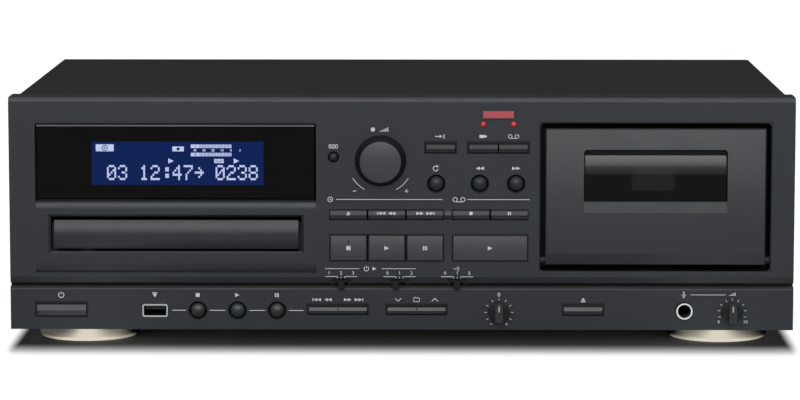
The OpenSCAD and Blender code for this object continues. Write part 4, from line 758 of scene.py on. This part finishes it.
PANEL_TOP = PANEL_HIGH.z - 0.05
PANEL_BEVEL = PANEL_HIGH.z - 1.2
BOARD_T = 1.65
black_plastic = grained("black_plastic", paint(24, 24, 26), 0.5)
bright_steel = drawn_metal("bright_steel", paint(200, 202, 204), 0.22, (300.0, 6.0, 300.0))
dress(grained("panel_satin", paint(30, 35, 41), 0.46, specular=0.42, height=0.00001, zones=[
    # Painted shade: the panel's flat top is coloured near black, darker than its face.
    (within(z=(PANEL_TOP, FAR)), paint(10, 11, 12), 0.45),
    # Painted highlight: the rounded top edge of the panel is coloured lighter than its face.
    (within(z=(PANEL_BEVEL, PANEL_TOP)), paint(46, 52, 59), 0.5),
    # Painted shade: a band over the groove and the rounded top edge of the lower strip is coloured darker
    # and rougher.
    (within(z=(up(23.0), up(25.2))), paint(15, 18, 22), 0.8)]), "front_panel")
dress(grained("cover_paint", paint(38, 41, 40), 0.85, specular=0.03, grain=1500.0, height=0.00004,
              dust=0.03), "top_cover")
dress(zinc_sheet, "bottom_chassis", "rear_panel")
dress(foot_metal, "feet")
dress(drawn_metal("blackened_screw", paint(58, 57, 58), 0.4, (400.0, 400.0, 400.0)), "case_screws")
dress(smoked("display_acrylic", paint(58, 58, 60), 0.0, 1.215)[0], "display_window")
dress(lcd_cell, "lcd_module")
front_back_y = corners("front_board")[1].y
dress(board_finish("front_board_finish", within(y=(-FAR, front_back_y - BOARD_T))), "front_board")
main_low_z = corners("main_board")[0].z
dress(board_finish("main_board_finish", within(z=(main_low_z + BOARD_T, FAR))), "main_board")
dress(transformer_finish, "power_transformer")

# Finishes of the sockets and lamps

jack_x = middle("line_jacks").x
REAR_Y = corners("rear_panel")[1].y
COLLAR_Y = REAR_Y + 1.65
COLLAR = (REAR_Y - 1.5, COLLAR_Y)
dress(zoned("line_jack_finish", paint(26, 26, 27), [
    (within(x=(-FAR, jack_x), y=COLLAR), paint(214, 212, 206), 0.4, 0.0),
    (within(x=(jack_x, FAR), y=COLLAR), paint(176, 28, 30), 0.4, 0.0),
    (within(y=(COLLAR_Y, FAR)), paint(206, 206, 204), 0.24, 1.0)]), "line_jacks")

inlet_mid = middle("mains_inlet")
PIN_X = 4.3
PIN_R = 1.3
PIN_L = 12.9
inlet_pins = joined([within(about(inlet_mid.x + side * PIN_X, PIN_R), (REAR_Y - PIN_L, REAR_Y),
                            about(inlet_mid.z, PIN_R)) for side in SIDES])
dress(zoned("mains_inlet_finish", paint(24, 24, 25), [(inlet_pins, paint(205, 202, 190), 0.25, 1.0)]),
      "mains_inlet")

port_low, port_high = corners("usb_socket")
port_mid = (port_low + port_high) / 2
PORT_WALL = 0.75
PORT_LIP = 0.3
port_hole = within((port_low.x + PORT_WALL, port_high.x - PORT_WALL), (port_low.y + PORT_LIP, port_high.y),
                   (port_low.z + PORT_WALL, port_high.z - PORT_WALL))
dress(zoned("usb_socket_finish", paint(196, 197, 199), [(port_hole, paint(22, 22, 23), 0.5, 0.0)],
            roughness=0.3, metal=0.5), "usb_socket")

mic_mid = middle("mic_jack")
MIC_HOLE_R = 3.7
MIC_RING_R = 4.55
MIC_REACH = 10.0
dress(zoned("mic_jack_finish", paint(24, 24, 25), [
    (within(y=(-FAR, FACE_Y + 2.9)), paint(236, 236, 233), 0.3, 0.4),
    (around(mic_mid, MIC_REACH, MIC_RING_R), paint(26, 27, 29), 0.5, 0.0),
    # Painted light: the inside of the hole is coloured lighter than the jack's body, to lift its shade.
    (around(mic_mid, MIC_HOLE_R), paint(44, 44, 46), 0.5, 0.0)]), "mic_jack")
dress(lamp_lens, "record_lamps")

# Finishes of the disc player

drawer_low, drawer_high = corners("drawer_front")
drawer_h = drawer_high.z - drawer_low.z
dress(grained("drawer_satin", paint(40, 43, 48), 0.34, specular=0.31, height=0.000008,
              crown=(drawer_low.z + 0.25 * drawer_h, drawer_low.z + 0.6 * drawer_h, 0.0, 0.05)),
      "drawer_front")
dress(grained("tray_plastic", paint(34, 34, 36), 0.55), "drawer_tray")
dress(grained("gear_plastic", paint(222, 219, 206), 0.45, height=0.000008), "loading_gear")

spindle_mid = middle("turntable")
pickup_mid = middle("optical_pickup")
pickup_low_z = corners("optical_pickup")[0].z
ROD_OUT = 24.0
ROD_UP = 3.0
ROD_R = 1.6
SPINDLE_MOTOR_R = 12.1
SPINDLE_MOTOR_TOP = pickup_low_z - 2.2
polished_rod = paint(206, 208, 210)


def spindle_motor(tree):
    """Mask of the motor under the turntable."""
    return product(tree, around(spindle_mid, SPINDLE_MOTOR_R, plane=ACROSS_Z)(tree),
                   within(z=(-FAR, SPINDLE_MOTOR_TOP))(tree))


pickup_rods = joined([around((pickup_mid.x + side * ROD_OUT, 0, pickup_low_z + ROD_UP), ROD_R)
                      for side in SIDES])
dress(zoned("loader_finish", paint(84, 86, 90), [
    (pickup_rods, polished_rod, 0.2, 1.0), (spindle_motor, paint(170, 172, 174), 0.3, 1.0)]),
    "cd_loader_frame")
dress(zoned("spindle_finish", paint(30, 30, 32), [
    (around(spindle_mid, 15.1, 8.5, ACROSS_Z), paint(44, 44, 46), 0.8, 0.0),
    (around(spindle_mid, 1.3, plane=ACROSS_Z), polished_rod, 0.2, 1.0)]), "turntable")
dress(zoned("pickup_finish", paint(120, 124, 130), [
    (around(pickup_mid, 7.1, plane=ACROSS_Z), paint(24, 24, 26), 0.5, 0.0),
    (around(pickup_mid, 2.9, plane=ACROSS_Z), paint(70, 84, 120), 0.06, 0.0)], roughness=0.4),
    "optical_pickup")

# Finishes of the cassette player

door_low, door_high = corners("cassette_door")
door_x = middle("cassette_door").x
bridge_low, bridge_high = corners("head_bridge")
# Painted shade: the sloped ledge under the door's window is coloured darker than the door's face.
DOOR_RAMP_SHADE = within(x=about(door_x, 39.4), z=(up(65.3), up(72.0)))
TAPE_HEAD = within(about(door_x, 6.1), (bridge_low.y - 1, bridge_high.y - 1.8), (bridge_low.z, FAR))
dress(grained("door_satin", paint(42, 45, 49), 0.42, specular=0.34, height=0.00001,
              crown=(door_low.z, door_high.z, -0.08, 0.28), zones=[(DOOR_RAMP_SHADE, paint(34, 37, 41), 0.5)]),
      "cassette_door")
dress(door_glass(corners("cassette_window")[1].z), "cassette_window")
dress(black_plastic, "cassette_carrier")
dress(deck_plate, "tape_deck_frame")
dress(grained("reel_plastic", paint(38, 39, 42), 0.4), "supply_reel", "takeup_reel")
dress(bright_steel, "capstan")
dress(zoned("head_bridge_finish", paint(190, 191, 192), [(TAPE_HEAD, paint(120, 112, 100), 0.12, 1.0)],
            roughness=0.3, metal=1.0), "head_bridge")
dress(grained("roller_rubber", paint(26, 25, 26), 0.8, grain=3600.0, height=0.00003), "pinch_roller")

# Finishes of the keys and knobs

KEY_SIGN = 2.35
SMALL_SIGN = 1.75
BIG_SIGNS = {"cd_stop_button": stop_sign, "cd_play_button": play_sign, "cd_pause_button": pause_sign,
             "tape_play_button": play_sign}
SMALL_SIGNS = {"cd_open_button": (eject_sign, 0, 0, 2.1),
               "cd_back_button": (skip_sign, 0, 0, SMALL_SIGN, -1),
               "cd_next_button": (skip_sign, 0, 0, SMALL_SIGN, 1),
               "tape_stop_button": (stop_sign, 0, 0, SMALL_SIGN),
               "tape_pause_button": (pause_sign, 0, 0, SMALL_SIGN)}
STRIP_SIGNS = {"usb_stop_button": stop_sign, "usb_play_button": play_sign, "usb_pause_button": pause_sign}
SOURCE_KEYS = ["source_button", "record_usb_button", "record_tape_button"]
BAR_KEYS = ["power_button", "eject_button", "usb_skip_rocker", "folder_rocker"]
RIM_SHADED_KEYS = ["repeat_button", "rewind_button", "fast_forward_button"]
DIALS = ["pitch_knob", "mic_level_knob"]
SWITCHES = ["start_source_switch", "start_mode_switch", "echo_switch"]
RIM_REACH = 6.0
DIAL_BAR = 5.7


def key_rim_shade(names, inner):
    """Zone of painted shade on the rims of round keys: their edges, where the domes turn away from the
    light, are coloured near black.
    """
    return (joined([around(middle(name), RIM_REACH, inner) for name in names]), paint(9, 10, 12), 0.7)


big_low, big_high = corners("cd_stop_button")
dial_bar_y = corners("pitch_knob")[0].y + DIAL_BAR
dress(grained("big_key_satin", paint(50, 52, 56), 0.42, specular=0.36, height=0.00001,
              crown=(big_low.z, big_high.z, -0.08, 0.28)), *BIG_SIGNS)
dress(grained("small_key_satin", paint(47, 49, 53), 0.36, specular=0.24, height=0.000008), *SMALL_SIGNS)
dress(grained("source_key_satin", paint(44, 46, 50), 0.42, height=0.000008), *SOURCE_KEYS)
dress(grained("bar_key_satin", paint(46, 48, 53), 0.36, specular=0.42, height=0.000008), *BAR_KEYS)
# Painted shade: the round keys are coloured near black around their rims.
dress(grained("round_key_satin", paint(36, 38, 41), 0.36, specular=0.26, height=0.000006,
              zones=[key_rim_shade(RIM_SHADED_KEYS, 3.65)]), *RIM_SHADED_KEYS, "counter_reset_button")
dress(grained("strip_key_satin", paint(42, 43, 46), 0.34, specular=0.42, height=0.000006,
              zones=[key_rim_shade(STRIP_SIGNS, 3.45)]), *STRIP_SIGNS)
dress(knob_cap, "rec_level_knob")
dress(grained("dial_plastic", paint(28, 29, 30), 0.5, specular=0.2, zones=[
    (within(y=(-FAR, dial_bar_y)), paint(49, 50, 52), 0.42)]), *DIALS)
dress(grained("switch_plastic", paint(16, 17, 18), 0.5), *SWITCHES)

# Marks printed on the panel

white_ink = printed_ink("white_ink", paint(196, 199, 202))
STRIP_MARKS = up(19.5)
STRIP_LOW_MARKS = up(17.0)
STRIP_LINE = up(10.9)
LINE_CLEAR = 6.6
LEGEND = 2.2
PANEL_SPOT = (0, FACE_Y, 0)


def strip_marks(bm):
    """Marks along the lower strip."""
    power_sign(bm, middle("power_button").x, STRIP_MARKS, 3.0)
    arrow(bm, port_mid.x, STRIP_MARKS - 0.3, 2.2, 2.8, -90)
    plate(bm, port_mid.x, STRIP_MARKS + 1.3, 2.8, LINE_W)
    keys = [middle(name).x for name in STRIP_SIGNS]
    for sign, x in zip(STRIP_SIGNS.values(), keys):
        sign(bm, x, STRIP_MARKS, LEGEND)
    stops = [port_high.x - 4.1, *keys, corners("usb_skip_rocker")[0].x + 3.5]
    for left, right in zip(stops, stops[1:]):
        stroke(bm, left + LINE_CLEAR, STRIP_LINE, right - LINE_CLEAR, STRIP_LINE, 0.4)
    for way in SIDES:
        skip_sign(bm, middle("usb_skip_rocker").x + way * 8.5, STRIP_LOW_MARKS, 1.85, way)
    folder_x = middle("folder_rocker").x
    for way in SIDES:
        chevron(bm, folder_x + way * 10.2, STRIP_LOW_MARKS, 2.8, way)
    folder_sign(bm, folder_x, STRIP_LOW_MARKS, 2.1)
    eject_sign(bm, middle("eject_button").x, STRIP_LOW_MARKS, 2.4)


def dial_marks(bm):
    """Scales of the two small knobs, and the marks of the microphone jack."""
    pitch, level = (middle(name) for name in DIALS)
    ticks(bm, pitch.x, pitch.z, 6.7, 8.1, range(-120, 121, 30))
    numeral(bm, pitch.x, STRIP_MARKS + 0.3, "0", LEGEND)
    minus_sign(bm, pitch.x - 4.3, pitch.z - 6.6, 1.5)
    plus_sign(bm, pitch.x + 4.3, pitch.z - 6.6, 1.5)
    ticks(bm, level.x, level.z, 6.7, 8.1, range(-108, 109, 27))
    numeral(bm, level.x - 7.4, level.z - 5.2, "0", 1.7)
    numeral(bm, level.x + 7.4, level.z - 5.2, "10", 1.7)
    level_sign(bm, level.x, STRIP_MARKS + 0.9, 1.9)
    microphone_sign(bm, mic_mid.x - 0.5, STRIP_MARKS + 0.6, 3.0)
    stroke(bm, mic_mid.x + 3.2, STRIP_MARKS + 0.5, level.x - 3.8, STRIP_MARKS + 0.5, THIN_W)


def level_marks(bm):
    """Marks around the recording level knob and the counter reset key."""
    knob = middle("rec_level_knob")
    for start in (-61, -148):
        arc(bm, knob.x, knob.z, 18.1, 0.38, start, 29)
    minus_sign(bm, knob.x - 14.4, knob.z - 16.7, 1.9)
    plus_sign(bm, knob.x + 14.4, knob.z - 16.7, 1.9)
    disc(bm, knob.x - 4.2, knob.z + 17.5, 1.2)
    level_sign(bm, knob.x + 2.0, knob.z + 17.5, 2.4)
    reset = middle("counter_reset_button")
    numeral(bm, reset.x, reset.z + 5.9, "000", 2.5)


def source_marks(bm):
    """Marks over the source, record and round keys, and the lines over the transport keys."""
    over = 7.0
    source, stick, tape = (middle(name) for name in SOURCE_KEYS)
    input_sign(bm, source.x, source.z + over, 2.4)
    stick_sign(bm, stick.x, stick.z + over, LEGEND)
    tape_sign(bm, tape.x, tape.z + over, 2.5)
    repeat, back, ahead = (middle(name) for name in RIM_SHADED_KEYS)
    loop_sign(bm, repeat.x - 0.3, repeat.z + 8.7, 2.7)
    wind_sign(bm, back.x, back.z + 8.8, 2.0, -1)
    wind_sign(bm, ahead.x, ahead.z + 8.8, 2.0, 1)
    line = up(73.1)
    first = corners("cd_open_button")[0].x
    disc_sign(bm, first + 0.1, line, 3.0)
    stroke(bm, first + 3.3, line, corners("cd_next_button")[1].x - 0.4, line, 0.36)
    tape_first = corners("tape_stop_button")[0].x
    tape_sign(bm, tape_first + 3.4, line, 2.9)
    stroke(bm, tape_first + 7.9, line, corners("tape_pause_button")[1].x + 1.0, line, 0.36)


def switch_marks(bm):
    """Scales of the three slide switches."""
    bracket = up(30.0)
    figures = up(31.9)
    title = up(34.4)
    first, second, third = (middle(name).x for name in SWITCHES)
    second += 2.1
    for x, numbers in ((first, "123"), (second, "012"), (third, "012")):
        for side in SIDES:
            stroke(bm, x + side * 2.3, bracket, x + side * 8.9, bracket, THIN_W)
        for spot in (-2.0, 0.0, 2.0):
            stroke(bm, x + spot, bracket - 0.9, x + spot, bracket - 0.1, 0.4)
        for side, figure in zip((-1, 0, 1), numbers):
            numeral(bm, x + side * 6.7, figures, figure, 1.75)
    between = (first + second) / 2
    stroke(bm, first - 8.9, title, between - 6.2, title, THIN_W)
    stroke(bm, between + 6.2, title, second + 8.9, title, THIN_W)
    power_sign(bm, between - 2.2, title, 2.5)
    play_sign(bm, between + 2.4, title, 2.1)
    echo_sign(bm, third - 0.3, title, 1.5)


panel_ink = drawing((strip_marks,), (dial_marks,), (level_marks,), (source_marks,), (switch_marks,))
printed("panel_marks", panel_ink, "chassis", white_ink, PANEL_SPOT)
lamp_mid = middle("record_lamps")
printed("record_badge", drawing((plate, lamp_mid.x, lamp_mid.z + 5.4, 17.0, 4.0)), "chassis",
        printed_ink("badge_red", paint(172, 80, 90)), PANEL_SPOT)

# Marks on the transport keys

for name, sign in BIG_SIGNS.items():
    key = middle(name)
    printed(name.replace("button", "sign"), drawing((sign, key.x, key.z, KEY_SIGN)), name, white_ink,
            (0, corners(name)[0].y, 0))

DOT_R = 0.55
DOT_UP = 3.8
dot = bmesh.new()
dot_spot = (middle("cd_stop_button").x, big_low.y, middle("cd_stop_button").z + DOT_UP)
bmesh.ops.create_uvsphere(dot, u_segments=16, v_segments=8, radius=DOT_R)
bmesh.ops.scale(dot, vec=(1, 0.5, 1), verts=dot.verts[:])
bmesh.ops.translate(dot, vec=dot_spot, verts=dot.verts[:])
piece("stop_key_dot", dot, "cd_stop_button", black_plastic)

RIDGE_BACK = 0.7
RIDGE_EDGE = 0.4
KEY_LIP = 1.0
SIGN_SHARE = 0.45
for name, sign in SMALL_SIGNS.items():
    low, high = corners(name)
    slope_h = (high.z - low.z) / 2 - KEY_LIP - RIDGE_EDGE
    spot = middle(name) + Vector((0, 0, slope_h * SIGN_SHARE))
    spot.y = low.y + RIDGE_BACK * SIGN_SHARE
    printed(name.replace("button", "sign"), drawing(sign), name, white_ink, spot,
            math.degrees(math.atan2(RIDGE_BACK, slope_h)))

# Pointers of the two small knobs

POINTER_SUNK = 0.4
for name in DIALS:
    knob = middle(name)
    printed(name.replace("knob", "pointer"), drawing((plate, knob.x, knob.z + 2.9, 0.8, 3.4)), name,
            printed_ink(name + "_ink", paint(176, 178, 180)), (0, corners(name)[0].y + POINTER_SUNK, 0))

# Picture on the display

DOT_FIGURES = {
    "0": ("01110", "10001", "10011", "10101", "11001", "10001", "01110"),
    "1": ("00100", "01100", "00100", "00100", "00100", "00100", "01110"),
    "2": ("01110", "10001", "00001", "00110", "01000", "10000", "11111"),
    "3": ("01110", "10001", "00001", "00110", "00001", "10001", "01110"),
    "4": ("00010", "00110", "01010", "10010", "11111", "00010", "00010"),
    "7": ("11111", "00001", "00010", "00100", "01000", "01000", "01000"),
    "8": ("01110", "10001", "10001", "01110", "10001", "10001", "01110"),
    ":": ("00000", "00110", "00110", "00000", "00110", "00110", "00000"),
    ">": ("00000", "00100", "00010", "11111", "00010", "00100", "00000"),
}
DOT_W = 1.02
DOT_H = 1.2
DOT_FILL = 0.94
CELL_X = CELL_LOW.x
CELL_Z = CELL_LOW.z
METERS = (CELL_Z + 21.5, CELL_Z + 16.9)


def dot_figures(bm, x, z, text):
    """A row of dot figures from its lower left corner."""
    for place, figure in enumerate(text):
        for row, line in enumerate(DOT_FIGURES[figure]):
            for column, lit in enumerate(line):
                if lit == "1":
                    plate(bm, x + (place * 6 + column + 0.5) * DOT_W, z + (6.5 - row) * DOT_H,
                          DOT_W * DOT_FILL, DOT_H * DOT_FILL)


def display_picture(bm):
    """Figures, tags and level meters of the display."""
    for x, text in ((8.3, "03"), (26.4, "12:47>"), (68.6, "0238")):
        dot_figures(bm, CELL_X + x, CELL_Z + 2.6, text)
    for x, z, w, h in ((7.2, 20.6, 10.0, 3.9), (47.9, 20.0, 6.4, 2.7), (70.5, 13.3, 5.2, 2.3)):
        plate(bm, CELL_X + x, CELL_Z + z, w, h)
    for x in (43.9, 80.2):
        arrow(bm, CELL_X + x, CELL_Z + 13.3, 3.0, 2.9)
    for z in METERS:
        plate(bm, CELL_X + 57.4, z, 4.9, 2.0)
        for i in range(22):
            plate(bm, CELL_X + 60.4 + i * 0.8, z, 0.55, 2.0)
    for i, figure in enumerate(("40", "30", "20", "10", "0", "3")):
        numeral(bm, CELL_X + 57.2 + i * 5.0, CELL_Z + 19.2, figure, 1.3)


def tag_signs(bm):
    """Dark signs on the lit tags of the display."""
    disc_sign(bm, CELL_X + 7.2, CELL_Z + 20.6, 3.3)
    disc(bm, CELL_X + 47.9, CELL_Z + 20.0, 0.85)
    tape_sign(bm, CELL_X + 70.5, CELL_Z + 13.35, 1.5)
    for z, figure in zip(METERS, "12"):
        numeral(bm, CELL_X + 57.4, z, figure, 1.4)


printed("display_picture", drawing((display_picture,)), "chassis", lit_segment, (0, GLASS_FRONT_Y, 0))
printed("display_tag_signs", drawing((tag_signs,)), "chassis", printed_ink("tag_ink", paint(10, 16, 40)),
        (0, GLASS_FRONT_Y - MARK_T, 0))

# Painted highlight on the upper edge of the display's window, in light grey ink on its bevel, and painted
# shadow of the joint over it, in black ink

window_low, window_high = corners("display_window")
window_x = middle("display_window").x
window_w = window_high.x - window_low.x
WINDOW_BEVEL = 0.8
JOINT_UP = 0.65
JOINT_H = 0.7
edge_spot = (window_x, window_low.y + WINDOW_BEVEL / 2, window_high.z - WINDOW_BEVEL / 2)
# Painted highlight: a light grey strip along the window's upper bevel.
printed("window_edge_highlight", drawing((plate, 0, 0, window_w - 2 * WINDOW_BEVEL, WINDOW_BEVEL * 1.3)), "chassis",
        printed_ink("painted_edge_highlight", paint(116, 118, 123), 0.3), edge_spot, 45)
# Painted shadow: a black strip where the joint over the window falls into shade.
printed("window_joint_shadow", drawing((plate, window_x, window_high.z + JOINT_UP, window_w, JOINT_H)), "chassis",
        printed_ink("joint_shade", paint(5, 5, 6), 0.95), PANEL_SPOT)

# Gold contacts under the tongue of the port

CONTACT = Matrix.Diagonal((1.0, 7.0, 0.12, 1))
CONTACT_PITCH = 2.4
contacts = bmesh.new()
for i in range(4):
    spot = (port_mid.x + (i - 1.5) * CONTACT_PITCH, port_low.y + 6.2, port_mid.z + 0.36)
    bmesh.ops.create_cube(contacts, size=1.0, matrix=Matrix.Translation(spot) @ CONTACT)
bmesh.ops.bevel(contacts, geom=contacts.edges[:], offset=0.03, segments=1, profile=0.5, affect="EDGES",
                material=-1)
piece("port_contacts", contacts, "chassis",
      drawn_metal("contact_gold", paint(212, 176, 96), 0.25, (300.0, 6.0, 300.0)))

# Floor, light and camera

FLOOR_HALF = 8.0
SHADE_IN = 0.055
SIDE_OUT = 0.008
AMBIENT = 0.3
DECK_AIM = Vector((0.0, -0.13, 0.08))
LAMP_SPOT = Vector((0.0, -1.9, 1.2))


def ray_kinds(tree):
    """Mask of rays that see plainly, from the camera or through glass, and mask of reflections."""
    path = node(tree, "LightPath").outputs
    plain = math_node(tree, "MAXIMUM", path["Is Camera Ray"], path["Is Transmission Ray"])
    return plain, path["Is Glossy Ray"]


def make_floor():
    """A pale floor that keeps the deck's shadow near it, where its colour is also painted darker under the
    deck as painted shadow, and is plain white to the camera farther away.

    Reflections see it lit in front, and dark under the deck but for strips near the front feet.
    """
    material, tree, shader = new_material("floor_white", Roughness=0.9, Specular_IOR_Level=0.0,
                                          Emission_Color=WHITE)
    point = object_point(tree)
    front_y = FACE_Y * MM
    side_x, back_y, _ = cad_box[1]
    half = (side_x, back_y - SHADE_IN, 0)
    reach = vector_math(tree, "SUBTRACT", vector_math(tree, "ABSOLUTE", point), half)
    stretch = (SHADE_IN / SIDE_OUT, 1.0, 0.0)
    outside = vector_math(tree, "MULTIPLY", vector_math(tree, "MAXIMUM", reach), stretch)
    far = ramp(tree, length(tree, outside), 0.0, SHADE_IN, kind="SMOOTHSTEP")
    across, depth, _ = parts(tree, point)
    span = math_node(tree, "ABSOLUTE", across)
    feet_low, feet_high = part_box("feet")
    aside = math_node(tree, "SUBTRACT", span, feet_high.x - FOOT_R * MM)
    strips = product(tree, ramp(tree, aside, -0.05, -0.015, 0.2, 1.0),
                     ramp(tree, aside, 0.015, 0.05, 1.0, 0.08))
    strips = product(tree, strips, ramp(tree, depth, feet_low.y, feet_low.y + 0.03, 1.0, 0.0))
    beneath = product(tree, ramp(tree, depth, front_y - 0.12, front_y - 0.07),
                      ramp(tree, depth, back_y - 0.03, back_y, 1.0, 0.0))
    left_side = product(tree, ramp(tree, across, -0.195, -0.235),
                        ramp(tree, depth, front_y - 0.13, front_y - 0.11))
    lit = mix_value(tree, left_side, mix_value(tree, beneath, 0.65, strips), 0.12)
    plain, mirrored = ray_kinds(tree)
    # Painted shadow: the floor's own colour is darker under the deck, most of all towards its sides.
    painted_floor_shadow = mix_value(tree, far, ramp(tree, span, 0.1, side_x, 0.4, 0.05), 0.6)
    seen = product(tree, product(tree, far, 0.8), plain)
    join(tree, shader, {"Base Color": mix_value(tree, mirrored, painted_floor_shadow, 0.0),
                        "Emission Strength": times_plus(tree, lit, mirrored, seen)})
    bm = bmesh.new()
    bmesh.ops.create_grid(bm, x_segments=1, y_segments=1, size=FLOOR_HALF)
    floor = mesh_object("floor", bm, material)


def make_world():
    """White to the camera and through glass, bright overhead and dim behind in reflections.

    Its even light is stronger from the sides and behind, where no lamp stands.
    """
    world = bpy.data.worlds.new("studio")
    bpy.context.scene.world = world
    world.use_nodes = True
    tree = world.node_tree
    tree.nodes.clear()
    _, ahead, over = parts(tree, node(tree, "TexCoord").outputs["Generated"])

    def soft(value, start, end):
        return ramp(tree, value, start, end, kind="SMOOTHSTEP")

    overhead = product(tree, soft(over, 0.08, 0.45), soft(ahead, 0.85, 0.25))
    beside = product(tree, soft(over, 0.55, 0.2), soft(ahead, -0.6, -0.1))
    reflected = times_plus(tree, overhead, 0.965, 0.035)
    even = times_plus(tree, beside, 0.7, AMBIENT)
    plain, mirrored = ray_kinds(tree)
    strength = mix_value(tree, plain, mix_value(tree, mirrored, even, reflected), 1.0)
    sky = node(tree, "Background", {"Color": WHITE, "Strength": strength})
    node(tree, "OutputWorld", {"Surface": sky.outputs[0]})


def make_lamp():
    """One wide softbox in front of the deck and above it."""
    lamp = bpy.data.lights.new("key_softbox", "AREA")
    lamp.shape = "RECTANGLE"
    lamp.size = 2.6
    lamp.size_y = 1.6
    lamp.energy = 37.0
    made = add_object("key_softbox", lamp)
    made.location = LAMP_SPOT
    made.rotation_euler = (DECK_AIM - LAMP_SPOT).to_track_quat("-Z", "Y").to_euler()


def make_camera():
    """A long lens from a little above, turned and tilted to frame the deck without shift."""
    camera = bpy.data.cameras.new("camera")
    camera.sensor_width = 36.0
    camera.lens = 156.96
    camera.clip_end = 50.0
    made = add_object("camera", camera)
    made.location = (0.0196, -2.04915, 0.3244)
    made.rotation_euler = (math.radians(90 - 7.026), 0.0, math.radians(0.611))
    bpy.context.scene.camera = made


make_floor()
make_world()
make_lamp()
make_camera()
bpy.context.scene.view_settings.view_transform = "Standard"
